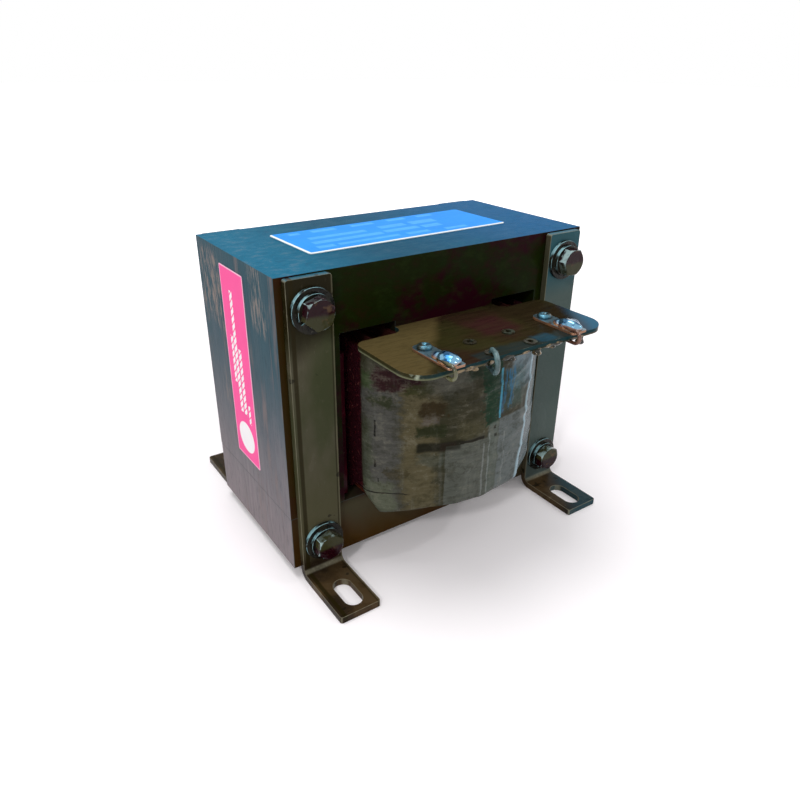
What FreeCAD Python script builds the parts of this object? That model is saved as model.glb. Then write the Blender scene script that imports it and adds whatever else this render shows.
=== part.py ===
"""Laminated chassis transformer, millimetres, +Z up.

The transformer stands on four slotted feet. X runs to the right, Y runs to
the rear and the front face looks along -Y. The origin is on the floor, under
the middle of the core.
"""
import FreeCAD
import Part
import math
import os
import Sketcher
from types import SimpleNamespace

Vector = FreeCAD.Vector
Rotation = FreeCAD.Rotation
Placement = FreeCAD.Placement

# Every size that can be set by itself, in millimetres, written once
SIZES = {
    # Laminated core: E plates above, I plates below
    "outer_leg_width": 25.4,
    "centre_leg_width": 50.8,
    "window_width": 25.4,
    "window_height": 76.2,
    "yoke_height": 25.4,
    "bar_height": 25.4,
    "stack_depth": 76.2,
    "core_clearance": 1.6,
    "bolt_edge": 12.7,
    "bolt_hole_diameter": 7.5,
    # Mounting straps
    "strap_width": 18.6,
    "strap_thickness": 3.2,
    "strap_offset": 0.5,
    "strap_drop": 0.5,
    "strap_bend_radius": 2.6,
    "strap_corner_radius": 1.2,
    "foot_reach": 34.4,
    "slot_width": 8.0,
    "slot_length": 16.5,
    "slot_reach": 22.8,
    # Through bolts and their washers
    "bolt_diameter": 6.35,
    "bolt_tip_length": 3.0,
    "bolt_tip_chamfer": 0.8,
    "head_flats": 11.1,
    "head_height": 4.1,
    "nut_height": 5.6,
    "nut_clearance": 0.05,
    "hex_chamfer_ratio": 0.96,
    "hex_chamfer_angle": 30.0,
    "flat_washer_diameter": 17.5,
    "flat_washer_thickness": 1.65,
    "lock_washer_diameter": 13.8,
    "lock_washer_thickness": 1.6,
    "lock_washer_split": 1.2,
    "washer_bore": 7.1,
    # Coil, from the tube on the centre leg outwards
    "tube_clearance": 0.4,
    "tube_wall": 2.0,
    "tube_lift": 0.3,
    "window_headroom": 2.2,
    "tube_corner_radius": 2.8,
    "tube_bore_radius": 0.8,
    "layer_clearance": 0.1,
    "winding_lift": 4.6,
    "winding_top_margin": 4.0,
    "primary_side_build": 8.0,
    "primary_end_build": 13.4,
    "primary_shoulder": 5.0,
    "primary_corner_radius": 7.0,
    "barrier_thickness": 0.8,
    "secondary_side_build": 7.6,
    "secondary_end_build": 13.2,
    "secondary_shoulder": 10.5,
    "secondary_corner_radius": 9.0,
    "wrap_thickness": 0.8,
    "wrap_lift": 1.4,
    "wrap_top_margin": 1.0,
    # Wedges between the coil and the outer legs
    "wedge_clearance": 0.2,
    "wedge_length": 68.0,
    "wedge_headroom": 5.9,
    "wedge_taper_length": 6.0,
    "wedge_taper_depth": 1.2,
    # Terminal boards
    "board_half_width": 48.5,
    "board_reach": 45.3,
    "board_thickness": 2.0,
    "board_lift": 0.1,
    "board_clearance": 0.3,
    "board_corner_radius": 10.0,
    "wing_setback": 6.3,
    "wing_corner_radius": 4.5,
    # Terminals, their rivets and eyelets
    "terminal_spread": 30.5,
    "terminal_pitch": 20.0,
    "tab_width": 8.0,
    "tab_thickness": 1.0,
    "tab_start": 22.0,
    "tab_overhang": 0.8,
    "tab_corner_radius": 1.2,
    "tab_back_radius": 3.6,
    "rivet_reach": 26.5,
    "rivet_diameter": 3.0,
    "rivet_head_diameter": 6.0,
    "rivet_head_height": 1.6,
    "rivet_head_round": 1.1,
    "rivet_tail_diameter": 4.8,
    "rivet_tail_height": 0.8,
    "rivet_clearance": 0.1,
    "eyelet_left_place": -11.5,
    "eyelet_right_place": 8.0,
    "eyelet_inner_reach": 29.5,
    "eyelet_outer_reach": 41.8,
    "eyelet_bore": 2.4,
    "eyelet_wall": 0.4,
    "eyelet_flange_width": 1.0,
    "eyelet_flange_height": 0.5,
    # Leads that hook round the boards' edges, and solder
    "tab_lead_diameter": 1.4,
    "tab_lead_hook_radius": 2.5,
    "tab_lead_shift": 3.0,
    "tab_lead_end_reach": 38.5,
    "sleeve_hook_radius": 3.8,
    "sleeve_clearance": 0.2,
    "sleeve_elbow_space": 0.4,
    "sleeve_angle": 24.0,
    "lead_gap": 0.3,
    "lead_seat_gap": 0.1,
    "solder_reach": 40.5,
    "solder_half_width": 3.8,
    "solder_half_length": 5.6,
    "solder_height": 3.4,
    # Plates stuck on the varnished core
    "nameplate_width": 102.0,
    "nameplate_depth": 36.0,
    "nameplate_thickness": 0.4,
    "nameplate_corner_radius": 1.5,
    "nameplate_shift": 2.0,
    "nameplate_angle": 1.2,
    "label_width": 23.4,
    "label_height": 86.4,
    "label_thickness": 0.2,
    "label_corner_radius": 0.8,
    "label_shift": 1.6,
    "label_bottom": 39.2,
}

# How far each fastener happens to be turned, in degrees, low left, low right,
# high left and high right
HEAD_TURNS = (20, 34, 18, 55)
SPLIT_TURNS = (200, 150, 120, 170)
NUT_TURNS = (48, 8, 31, 20)
NO_TURNS = (0, 0, 0, 0)


class Size:
    """A length together with the sheet expression that gives it."""

    def __init__(self, value, text):
        self.value = value
        self.text = text

    def __add__(self, other):
        other = as_size(other)
        return Size(self.value + other.value, f"({self.text} + {other.text})")

    def __sub__(self, other):
        other = as_size(other)
        return Size(self.value - other.value, f"({self.text} - {other.text})")

    def __mul__(self, other):
        other = as_size(other)
        return Size(self.value * other.value, f"({self.text} * {other.text})")

    def __truediv__(self, other):
        other = as_size(other)
        return Size(self.value / other.value, f"({self.text} / {other.text})")

    def __neg__(self):
        return Size(-self.value, f"(0 - {self.text})")

    def __rmul__(self, other):
        return as_size(other) * self

    def root(self):
        return Size(math.sqrt(self.value), f"sqrt({self.text})")


def as_size(number):
    """Wraps a plain number, so that it can stand in an expression."""
    if isinstance(number, Size):
        return number
    return Size(float(number), f"({float(number)})")


def bind(thing, name, size):
    """Ties one property to the sheet."""
    thing.setExpression(name, as_size(size).text)


doc = FreeCAD.newDocument("chassis_transformer")
sheet = doc.addObject("Spreadsheet::Sheet", "Sizes")
for row, (name, value) in enumerate(SIZES.items(), start=1):
    sheet.set(f"A{row}", name)
    sheet.set(f"B{row}", str(value))
    sheet.setAlias(f"B{row}", name)
doc.recompute()
s = SimpleNamespace(**{name: Size(value, f"Sizes.{name}") for name, value in SIZES.items()})

# Places worked out from the sizes
core_width = 2 * s.outer_leg_width + 2 * s.window_width + s.centre_leg_width
half_core = core_width / 2
half_centre_leg = s.centre_leg_width / 2
half_window_span = half_centre_leg + s.window_width
core_face = s.stack_depth / 2
core_bottom = s.strap_thickness + s.core_clearance
bar_top = core_bottom + s.bar_height
window_top = bar_top + s.window_height
core_top = window_top + s.yoke_height
bolt_place = half_core - s.bolt_edge
bolt_low = core_bottom + s.bolt_edge
bolt_high = core_top - s.bolt_edge
strap_place = bolt_place + s.strap_offset
strap_face = core_face + s.strap_thickness
tube_bottom = bar_top + s.tube_lift
tube_height = (s.window_height - s.tube_lift - s.board_lift - s.board_thickness
               - s.window_headroom)
winding_height = tube_height - s.winding_lift - s.winding_top_margin
wrap_height = tube_height - s.wrap_lift - s.wrap_top_margin
wedge_height = s.tube_lift + tube_height - s.wedge_headroom
board_bottom = tube_bottom + tube_height + s.board_lift
board_top = board_bottom + s.board_thickness
tab_top = board_top + s.tab_thickness
board_tip = core_face + s.board_reach

nodes = {}


def new_body(label):
    """An empty body that becomes one node."""
    body = doc.addObject("PartDesign::Body", label)
    body.Label = label
    nodes[label] = body
    return body


def template_body(label):
    """A body that is only copied to its places by links."""
    body = doc.addObject("PartDesign::Body", label)
    body.Label = label
    return body


def new_sketch(body, plane, offset=0):
    """A sketch on one of the body's own origin planes, moved along its normal."""
    support = [f for f in body.Origin.OriginFeatures if f.Role == plane][0]
    sketch = body.newObject("Sketcher::SketchObject", "Sketch")
    sketch.AttachmentSupport = [(support, "")]
    sketch.MapMode = "FlatFace"
    bind(sketch, "AttachmentOffset.Base.z", offset)
    return sketch


def place_point(sketch, element, point, across=None, up=None):
    """Ties a point of the sketch to the sheet by one or both of its coordinates."""
    for kind, size in (("DistanceX", across), ("DistanceY", up)):
        if size is None:
            continue
        size = as_size(size)
        number = sketch.addConstraint(
            Sketcher.Constraint(kind, -1, 1, element, point, size.value))
        sketch.setExpression(f"Constraints[{number}]", size.text)


def draw_polygon(sketch, corners):
    """A closed outline of straight lines through the corners."""
    corners = [(as_size(across), as_size(up)) for across, up in corners]
    first = sketch.GeometryCount
    count = len(corners)
    for number, (across, up) in enumerate(corners):
        next_across, next_up = corners[(number + 1) % count]
        start = Vector(across.value, up.value, 0)
        end = Vector(next_across.value, next_up.value, 0)
        sketch.addGeometry(Part.LineSegment(start, end), False)
    for number in range(count):
        sketch.addConstraint(Sketcher.Constraint(
            "Coincident", first + number, 2, first + (number + 1) % count, 1))
    for number, (across, up) in enumerate(corners):
        place_point(sketch, first + number, 1, across, up)


def draw_rectangle(sketch, left, right, low, high):
    draw_polygon(sketch, [(left, low), (right, low), (right, high), (left, high)])


def draw_circle(sketch, across, up, radius):
    """A circle tied by its centre and its radius."""
    radius = as_size(radius)
    centre = Vector(as_size(across).value, as_size(up).value, 0)
    element = sketch.addGeometry(Part.Circle(centre, Vector(0, 0, 1), radius.value), False)
    place_point(sketch, element, 3, across, up)
    number = sketch.addConstraint(Sketcher.Constraint("Radius", element, radius.value))
    sketch.setExpression(f"Constraints[{number}]", radius.text)


def draw_slot(sketch, across, up, length, width):
    """A slot that runs along the sketch's second axis."""
    across, up = as_size(across), as_size(up)
    radius = width / 2
    run = (length - width) / 2
    left, right = across - radius, across + radius
    low, high = up - run, up + run
    first = sketch.GeometryCount
    axis = Vector(0, 0, 1)
    low_circle = Part.Circle(Vector(across.value, low.value, 0), axis, radius.value)
    high_circle = Part.Circle(Vector(across.value, high.value, 0), axis, radius.value)
    sketch.addGeometry(Part.LineSegment(
        Vector(right.value, low.value, 0), Vector(right.value, high.value, 0)), False)
    sketch.addGeometry(Part.ArcOfCircle(high_circle, 0, math.pi), False)
    sketch.addGeometry(Part.LineSegment(
        Vector(left.value, high.value, 0), Vector(left.value, low.value, 0)), False)
    sketch.addGeometry(Part.ArcOfCircle(low_circle, math.pi, 2 * math.pi), False)
    for side in range(4):
        sketch.addConstraint(Sketcher.Constraint(
            "Coincident", first + side, 2, first + (side + 1) % 4, 1))
    place_point(sketch, first, 1, right, low)
    place_point(sketch, first, 2, right, high)
    place_point(sketch, first + 1, 3, up=high)
    place_point(sketch, first + 2, 1, left, high)
    place_point(sketch, first + 2, 2, left, low)
    place_point(sketch, first + 3, 3, up=low)


def draw_crowned(sketch, half_width, shoulder, crown):
    """Two straight sides joined by an arc at each end, as a wound coil bulges.

    The sides end at the shoulder and the arcs reach out to the crown.
    """
    rise = crown - shoulder
    radius = (half_width * half_width + rise * rise) / (2 * rise)
    lean = math.asin(half_width.value / radius.value)
    axis = Vector(0, 0, 1)
    centre = crown.value - radius.value
    first = sketch.GeometryCount
    right, high = half_width.value, shoulder.value
    sketch.addGeometry(Part.LineSegment(Vector(right, -high, 0), Vector(right, high, 0)), False)
    sketch.addGeometry(Part.ArcOfCircle(
        Part.Circle(Vector(0, centre, 0), axis, radius.value),
        math.pi / 2 - lean, math.pi / 2 + lean), False)
    sketch.addGeometry(Part.LineSegment(Vector(-right, high, 0), Vector(-right, -high, 0)), False)
    sketch.addGeometry(Part.ArcOfCircle(
        Part.Circle(Vector(0, -centre, 0), axis, radius.value),
        3 * math.pi / 2 - lean, 3 * math.pi / 2 + lean), False)
    for side in range(4):
        sketch.addConstraint(Sketcher.Constraint(
            "Coincident", first + side, 2, first + (side + 1) % 4, 1))
    place_point(sketch, first, 1, half_width, -shoulder)
    place_point(sketch, first, 2, half_width, shoulder)
    place_point(sketch, first + 2, 1, -half_width, shoulder)
    place_point(sketch, first + 2, 2, -half_width, -shoulder)
    for side in (1, 3):
        number = sketch.addConstraint(
            Sketcher.Constraint("Radius", first + side, radius.value))
        sketch.setExpression(f"Constraints[{number}]", radius.text)


def pad(body, sketch, length, symmetric=False, backwards=False):
    """Thickens a sketch along its normal."""
    feature = body.newObject("PartDesign::Pad", "Pad")
    feature.Profile = sketch
    bind(feature, "Length", length)
    if symmetric:
        feature.SideType = "Symmetric"
    feature.Reversed = backwards
    doc.recompute()
    return feature


def cut_through(body, sketch):
    """Cuts a sketch right through the body, both ways."""
    feature = body.newObject("PartDesign::Pocket", "Pocket")
    feature.Profile = sketch
    feature.Type = "ThroughAll"
    feature.SideType = "Symmetric"
    doc.recompute()
    return feature


def round_edges(body, radius, wanted):
    """Rounds the edges of the body for which wanted(edge) is true."""
    last = body.Tip
    names = [f"Edge{number}" for number, edge in enumerate(last.Shape.Edges, start=1)
             if wanted(edge)]
    feature = body.newObject("PartDesign::Fillet", "Fillet")
    feature.Base = (last, names)
    bind(feature, "Radius", radius)
    doc.recompute()
    return feature


def runs_along(edge, axis):
    """True for a straight edge that is parallel to a main axis, 0, 1 or 2."""
    if len(edge.Vertexes) < 2 or edge.Curve.TypeId != "Part::GeomLine":
        return False
    step = edge.Vertexes[1].Point - edge.Vertexes[0].Point
    return all(abs(step[other]) < 1e-6 for other in range(3) if other != axis)


def lies_at(edge, axis, place):
    """True where both ends of an edge have this coordinate."""
    return all(abs(vertex.Point[axis] - place.value) < 1e-4 for vertex in edge.Vertexes)


def turn_to_rear(body):
    """Half a turn about the upright axis, which makes a front piece a rear one."""
    body.Placement = Placement(Vector(0, 0, 0), Rotation(Vector(0, 0, 1), 180))


# Core: E plates stand on their yoke upside down, so the three legs point down

def make_e_stack():
    body = new_body("e_lamination_stack")
    sketch = new_sketch(body, "XZ_Plane")
    draw_polygon(sketch, [
        (-half_core, bar_top), (-half_window_span, bar_top),
        (-half_window_span, window_top), (-half_centre_leg, window_top),
        (-half_centre_leg, bar_top), (half_centre_leg, bar_top),
        (half_centre_leg, window_top), (half_window_span, window_top),
        (half_window_span, bar_top), (half_core, bar_top),
        (half_core, core_top), (-half_core, core_top)])
    pad(body, sketch, s.stack_depth, symmetric=True)
    holes = new_sketch(body, "XZ_Plane")
    for side in (-1, 1):
        draw_circle(holes, side * bolt_place, bolt_high, s.bolt_hole_diameter / 2)
    cut_through(body, holes)


def make_i_stack():
    body = new_body("i_lamination_stack")
    sketch = new_sketch(body, "XZ_Plane")
    draw_rectangle(sketch, -half_core, half_core, core_bottom, bar_top)
    pad(body, sketch, s.stack_depth, symmetric=True)
    holes = new_sketch(body, "XZ_Plane")
    for side in (-1, 1):
        draw_circle(holes, side * bolt_place, bolt_low, s.bolt_hole_diameter / 2)
    cut_through(body, holes)


# Coil: a square tube on the centre leg, then each winding and its insulation

class Outline:
    """The outside of one coil layer, seen from above."""

    def __init__(self, half_width, shoulder, crown, corner_radius):
        self.half_width = half_width
        self.shoulder = shoulder
        self.crown = crown
        self.corner_radius = corner_radius

    def grown(self, side, end):
        return Outline(self.half_width + side, self.shoulder, self.crown + end,
                       self.corner_radius + side)

    def draw(self, sketch):
        if self.shoulder is None:
            draw_rectangle(sketch, -self.half_width, self.half_width, -self.crown, self.crown)
        else:
            draw_crowned(sketch, self.half_width, self.shoulder, self.crown)


def make_layer(label, inner, outer, bottom, height):
    """One closed band of the coil, between two outlines."""
    body = new_body(label)
    sketch = new_sketch(body, "XY_Plane", bottom)
    inner.draw(sketch)
    outer.draw(sketch)
    pad(body, sketch, height)
    for outline in (outer, inner):
        half_width = outline.half_width
        round_edges(body, outline.corner_radius,
                    lambda edge: runs_along(edge, 2)
                    and (lies_at(edge, 0, half_width) or lies_at(edge, 0, -half_width)))
    return body


def layer_outline(inner, side_build, end_build, shoulder, corner_radius):
    """The outside of a layer that is wound on an inner outline."""
    return Outline(inner.half_width + side_build, core_face + shoulder,
                   inner.crown + end_build, corner_radius)


tube_bore = Outline(half_centre_leg + s.tube_clearance, None,
                    core_face + s.tube_clearance, s.tube_bore_radius)
tube_outside = Outline(tube_bore.half_width + s.tube_wall, None,
                       tube_bore.crown + s.tube_wall, s.tube_corner_radius)
primary_inside = tube_outside.grown(s.layer_clearance, s.layer_clearance)
primary_outside = layer_outline(primary_inside, s.primary_side_build, s.primary_end_build,
                                s.primary_shoulder, s.primary_corner_radius)
barrier_inside = primary_outside.grown(s.layer_clearance, s.layer_clearance)
barrier_outside = barrier_inside.grown(s.barrier_thickness, s.barrier_thickness)
secondary_inside = barrier_outside.grown(s.layer_clearance, s.layer_clearance)
secondary_outside = layer_outline(secondary_inside, s.secondary_side_build, s.secondary_end_build,
                                  s.secondary_shoulder, s.secondary_corner_radius)
wrap_inside = secondary_outside.grown(s.layer_clearance, s.layer_clearance)
wrap_outside = wrap_inside.grown(s.wrap_thickness, s.wrap_thickness)


def make_coil():
    winding_bottom = tube_bottom + s.winding_lift
    wrap_bottom = tube_bottom + s.wrap_lift
    make_layer("winding_tube", tube_bore, tube_outside, tube_bottom, tube_height)
    make_layer("primary_winding", primary_inside, primary_outside,
               winding_bottom, winding_height)
    make_layer("winding_barrier", barrier_inside, barrier_outside, wrap_bottom, wrap_height)
    make_layer("secondary_winding", secondary_inside, secondary_outside,
               winding_bottom, winding_height)
    make_layer("coil_wrap", wrap_inside, wrap_outside, wrap_bottom, wrap_height)


def make_wedge(label, side):
    """A tapered stick that jams the coil in its window."""
    body = new_body(label)
    sketch = new_sketch(body, "XY_Plane", bar_top)
    near = wrap_outside.half_width + s.wedge_clearance
    far = half_window_span - s.wedge_clearance
    end = s.wedge_length / 2
    start = end - s.wedge_taper_length
    draw_polygon(sketch, [
        (side * near, -start), (side * (near + s.wedge_taper_depth), -end),
        (side * far, -end), (side * far, end),
        (side * (near + s.wedge_taper_depth), end), (side * near, start)])
    pad(body, sketch, wedge_height)


# Mounting straps: flat bar bent outwards into a slotted foot

def make_strap(label, side, rear):
    """One strap on the front face, or turned to the rear face."""
    body = new_body(label)
    centre = side * strap_place
    profile = new_sketch(body, "YZ_Plane", centre - s.strap_width / 2)
    tip = -(core_face + s.foot_reach)
    top = core_top - s.strap_drop
    draw_polygon(profile, [
        (-core_face, top), (-core_face, 0), (tip, 0), (tip, s.strap_thickness),
        (-strap_face, s.strap_thickness), (-strap_face, top)])
    pad(body, profile, s.strap_width)
    round_edges(body, s.strap_bend_radius, lambda edge: runs_along(edge, 0)
                and lies_at(edge, 1, -strap_face) and lies_at(edge, 2, s.strap_thickness))
    round_edges(body, s.strap_bend_radius + s.strap_thickness, lambda edge: runs_along(edge, 0)
                and lies_at(edge, 1, -core_face) and lies_at(edge, 2, as_size(0)))
    round_edges(body, s.strap_corner_radius, lambda edge: (
        runs_along(edge, 2) and lies_at(edge, 1, tip))
        or (runs_along(edge, 1) and lies_at(edge, 2, top)))
    slot = new_sketch(body, "XY_Plane")
    draw_slot(slot, side * bolt_place, -(core_face + s.slot_reach), s.slot_length, s.slot_width)
    cut_through(body, slot)
    holes = new_sketch(body, "XZ_Plane")
    for height in (bolt_low, bolt_high):
        draw_circle(holes, side * bolt_place, height, s.bolt_hole_diameter / 2)
    cut_through(body, holes)
    if rear:
        turn_to_rear(body)


# Fasteners: each is made once, pointing up, and linked to its places

def hexagon(flats):
    """Corner points of a hexagon with this distance across its flats."""
    corner = flats / math.sqrt(3)
    return [(corner * math.cos(math.radians(angle)), corner * math.sin(math.radians(angle)))
            for angle in range(0, 360, 60)]


def chamfer_hexagon(body, flats, height, both_ends=False):
    """Turns the corners of a hexagonal head off at 30 degrees."""
    corner = flats / math.sqrt(3)
    start = flats / 2 * s.hex_chamfer_ratio
    outer = corner + 1
    fall = (outer - start) * math.tan(math.radians(s.hex_chamfer_angle.value))
    sketch = new_sketch(body, "XZ_Plane")
    draw_polygon(sketch, [(start, height), (outer, height - fall), (outer, height + 1),
                          (start, height + 1)])
    if both_ends:
        draw_polygon(sketch, [(start, as_size(0)), (start, as_size(-1)), (outer, as_size(-1)),
                              (outer, fall)])
    groove = body.newObject("PartDesign::Groove", "Groove")
    groove.Profile = sketch
    groove.ReferenceAxis = (sketch, ["V_Axis"])
    groove.Angle = 360
    doc.recompute()


def make_bolt_template():
    """A hexagon bolt, its head above the seat and its shank below."""
    body = template_body("bolt_template")
    head = new_sketch(body, "XY_Plane")
    draw_polygon(head, hexagon(s.head_flats))
    pad(body, head, s.head_height)
    chamfer_hexagon(body, s.head_flats, s.head_height)
    shank = new_sketch(body, "XY_Plane")
    draw_circle(shank, 0, 0, s.bolt_diameter / 2)
    length = (s.stack_depth + 2 * s.strap_thickness + 2 * s.flat_washer_thickness
              + s.lock_washer_thickness + s.nut_height + s.bolt_tip_length)
    pad(body, shank, length, backwards=True)
    last = body.Tip
    tip_edges = [f"Edge{number}" for number, edge in enumerate(last.Shape.Edges, start=1)
                 if lies_at(edge, 2, -length) and edge.Curve.TypeId == "Part::GeomCircle"]
    feature = body.newObject("PartDesign::Chamfer", "Chamfer")
    feature.Base = (last, tip_edges)
    bind(feature, "Size", s.bolt_tip_chamfer)
    doc.recompute()
    return body


def make_nut_template():
    body = template_body("nut_template")
    sketch = new_sketch(body, "XY_Plane")
    draw_polygon(sketch, hexagon(s.head_flats))
    draw_circle(sketch, 0, 0, s.bolt_diameter / 2 + s.nut_clearance)
    pad(body, sketch, s.nut_height)
    chamfer_hexagon(body, s.head_flats, s.nut_height, both_ends=True)
    return body


def make_washer_template(label, diameter, thickness, split=None):
    """A plain washer, or a split one that springs."""
    body = template_body(label)
    sketch = new_sketch(body, "XY_Plane")
    draw_circle(sketch, 0, 0, diameter / 2)
    draw_circle(sketch, 0, 0, s.washer_bore / 2)
    pad(body, sketch, thickness)
    if split is not None:
        cut = new_sketch(body, "XZ_Plane")
        lean = thickness / 2
        draw_polygon(cut, [(-split / 2 - lean, as_size(-1)), (split / 2 - lean, as_size(-1)),
                           (split / 2 + lean, thickness + 1), (-split / 2 + lean, thickness + 1)])
        feature = body.newObject("PartDesign::Pocket", "Pocket")
        feature.Profile = cut
        bind(feature, "Length", diameter)
        doc.recompute()
    return body


def link_group(label, template, places):
    """Copies of one template as separate solids in one node."""
    links = []
    for number, (across, along, up, rotation) in enumerate(places, start=1):
        link = doc.addObject("App::Link", f"{label}_{number}")
        link.LinkedObject = template
        link.Placement = Placement(Vector(0, 0, 0), rotation)
        bind(link, "Placement.Base.x", across)
        bind(link, "Placement.Base.y", along)
        bind(link, "Placement.Base.z", up)
        links.append(link)
    group = doc.addObject("Part::Compound", label)
    group.Label = label
    group.Links = links
    nodes[label] = group
    return group


def make_fasteners():
    corners = [(side * bolt_place, height) for height in (bolt_low, bolt_high) for side in (-1, 1)]
    forward = Rotation(Vector(1, 0, 0), 90)
    backward = Rotation(Vector(1, 0, 0), -90)
    first_seat = strap_face
    second_seat = strap_face + s.flat_washer_thickness
    head_seat = second_seat + s.lock_washer_thickness

    def row(seat, base, turns):
        return [(across, as_size(seat), up, base.multiply(Rotation(Vector(0, 0, 1), turn)))
                for (across, up), turn in zip(corners, turns)]

    link_group("through_bolts", make_bolt_template(), row(-head_seat, forward, HEAD_TURNS))
    link_group("lock_washers",
               make_washer_template("lock_washer_template", s.lock_washer_diameter,
                                    s.lock_washer_thickness, s.lock_washer_split),
               row(-second_seat, forward, SPLIT_TURNS))
    link_group("flat_washers",
               make_washer_template("flat_washer_template", s.flat_washer_diameter,
                                    s.flat_washer_thickness),
               row(-first_seat, forward, NO_TURNS) + row(first_seat, backward, NO_TURNS))
    link_group("hex_nuts", make_nut_template(), row(second_seat, backward, NUT_TURNS))


# Terminal boards: a plate on the coil that meets the centre leg between two wings

def crown_reach(outline, across):
    """How far an outline reaches from the middle of the core at this place."""
    rise = outline.crown - outline.shoulder
    radius = (outline.half_width * outline.half_width + rise * rise) / (2 * rise)
    return outline.crown - radius + (radius * radius - across * across).root()


def make_board(label, rear, rivet_places, eyelet_places):
    body = new_body(label)
    sketch = new_sketch(body, "XY_Plane", board_bottom)
    half = s.board_half_width
    middle = half_centre_leg + s.board_clearance
    middle_edge = -(core_face + s.board_clearance)
    wing_edge = -(core_face + s.wing_setback)
    draw_polygon(sketch, [
        (-half, -board_tip), (half, -board_tip), (half, wing_edge), (middle, wing_edge),
        (middle, middle_edge), (-middle, middle_edge), (-middle, wing_edge), (-half, wing_edge)])
    pad(body, sketch, s.board_thickness)
    round_edges(body, s.board_corner_radius,
                lambda edge: runs_along(edge, 2) and lies_at(edge, 1, -board_tip))
    round_edges(body, s.wing_corner_radius,
                lambda edge: runs_along(edge, 2) and lies_at(edge, 1, wing_edge))
    holes = new_sketch(body, "XY_Plane")
    for across in rivet_places:
        draw_circle(holes, across, -(core_face + s.rivet_reach),
                    s.rivet_diameter / 2 + s.rivet_clearance)
    for across, reach in eyelet_places:
        draw_circle(holes, across, -(core_face + reach),
                    s.eyelet_bore / 2 + s.eyelet_wall + s.rivet_clearance)
    cut_through(body, holes)
    if rear:
        turn_to_rear(body)


def make_tab(label, across, rear):
    """A flat solder tab, rounded round its rivet."""
    body = new_body(label)
    sketch = new_sketch(body, "XY_Plane", board_top)
    half = s.tab_width / 2
    back = -(core_face + s.tab_start)
    front = -(board_tip + s.tab_overhang)
    draw_rectangle(sketch, across - half, across + half, front, back)
    pad(body, sketch, s.tab_thickness)
    round_edges(body, s.tab_back_radius,
                lambda edge: runs_along(edge, 2) and lies_at(edge, 1, back))
    round_edges(body, s.tab_corner_radius,
                lambda edge: runs_along(edge, 2) and lies_at(edge, 1, front))
    hole = new_sketch(body, "XY_Plane")
    draw_circle(hole, across, -(core_face + s.rivet_reach),
                s.rivet_diameter / 2 + s.rivet_clearance)
    cut_through(body, hole)
    if rear:
        turn_to_rear(body)
    return body


def revolve(body, sketch):
    feature = body.newObject("PartDesign::Revolution", "Revolution")
    feature.Profile = sketch
    feature.ReferenceAxis = (sketch, ["V_Axis"])
    feature.Angle = 360
    doc.recompute()


def make_rivet_template():
    """A rivet that clamps a tab to the board, standing on the board's underside."""
    body = template_body("rivet_template")
    sketch = new_sketch(body, "XZ_Plane")
    shank = s.rivet_diameter / 2
    head = s.rivet_head_diameter / 2
    tail = s.rivet_tail_diameter / 2
    grip = s.board_thickness + s.tab_thickness
    top = grip + s.rivet_head_height
    draw_polygon(sketch, [
        (0, -s.rivet_tail_height), (tail, -s.rivet_tail_height), (tail, 0), (shank, 0),
        (shank, grip), (head, grip), (head, top), (0, top)])
    revolve(body, sketch)
    round_edges(body, s.rivet_head_round, lambda edge: lies_at(edge, 2, top)
                and edge.Curve.TypeId == "Part::GeomCircle")
    return body


def make_eyelet_template():
    """A hollow eyelet, standing on the board's underside."""
    body = template_body("eyelet_template")
    sketch = new_sketch(body, "XZ_Plane")
    bore = s.eyelet_bore / 2
    wall = bore + s.eyelet_wall
    rim = wall + s.eyelet_flange_width
    grip = s.board_thickness
    top = grip + s.eyelet_flange_height
    draw_polygon(sketch, [
        (bore, -s.eyelet_flange_height), (rim, -s.eyelet_flange_height), (rim, 0), (wall, 0),
        (wall, grip), (rim, grip), (rim, top), (bore, top)])
    revolve(body, sketch)
    return body


def draw_hook(path, start, bend, end, high, radius):
    """A line out to the bend, half a turn upwards and a line back to the end."""
    low = high - 2 * radius
    path.addGeometry(Part.LineSegment(
        Vector(start.value, low.value, 0), Vector(bend.value, low.value, 0)), False)
    circle = Part.Circle(Vector(bend.value, (high - radius).value, 0), Vector(0, 0, 1),
                         radius.value)
    path.addGeometry(Part.ArcOfCircle(circle, math.pi / 2, 3 * math.pi / 2), False)
    path.addGeometry(Part.LineSegment(
        Vector(bend.value, high.value, 0), Vector(end.value, high.value, 0)), False)
    path.addConstraint(Sketcher.Constraint("Coincident", 0, 2, 1, 2))
    path.addConstraint(Sketcher.Constraint("Coincident", 1, 1, 2, 1))
    place_point(path, 0, 1, start, low)
    place_point(path, 0, 2, bend, low)
    place_point(path, 1, 3, across=bend)
    place_point(path, 2, 1, bend, high)
    place_point(path, 2, 2, end, high)


def draw_elbow(path, radius, high, foot):
    """A quarter turn downwards from the hook's end, and a line down to the foot."""
    low = high - radius
    circle = Part.Circle(Vector(-radius.value, low.value, 0), Vector(0, 0, 1), radius.value)
    path.addGeometry(Part.ArcOfCircle(circle, 0, math.pi / 2), False)
    path.addGeometry(Part.LineSegment(
        Vector(0, low.value, 0), Vector(0, foot.value, 0)), False)
    path.addConstraint(Sketcher.Constraint("Coincident", 2, 2, 3, 2))
    path.addConstraint(Sketcher.Constraint("Coincident", 3, 1, 4, 1))
    place_point(path, 3, 3, across=-radius)
    place_point(path, 4, 1, 0, low)
    place_point(path, 4, 2, 0, foot)


def sweep_round(body, path, across, start, up, diameter):
    """Sweeps a circle along the path from its start."""
    section = new_sketch(body, "XZ_Plane", -start)
    draw_circle(section, across, up, diameter / 2)
    doc.recompute()
    pipe = body.newObject("PartDesign::AdditivePipe", "Pipe")
    pipe.Profile = section
    pipe.Spine = (path, [f"Edge{number + 1}" for number in range(path.GeometryCount)])
    doc.recompute()


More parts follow.
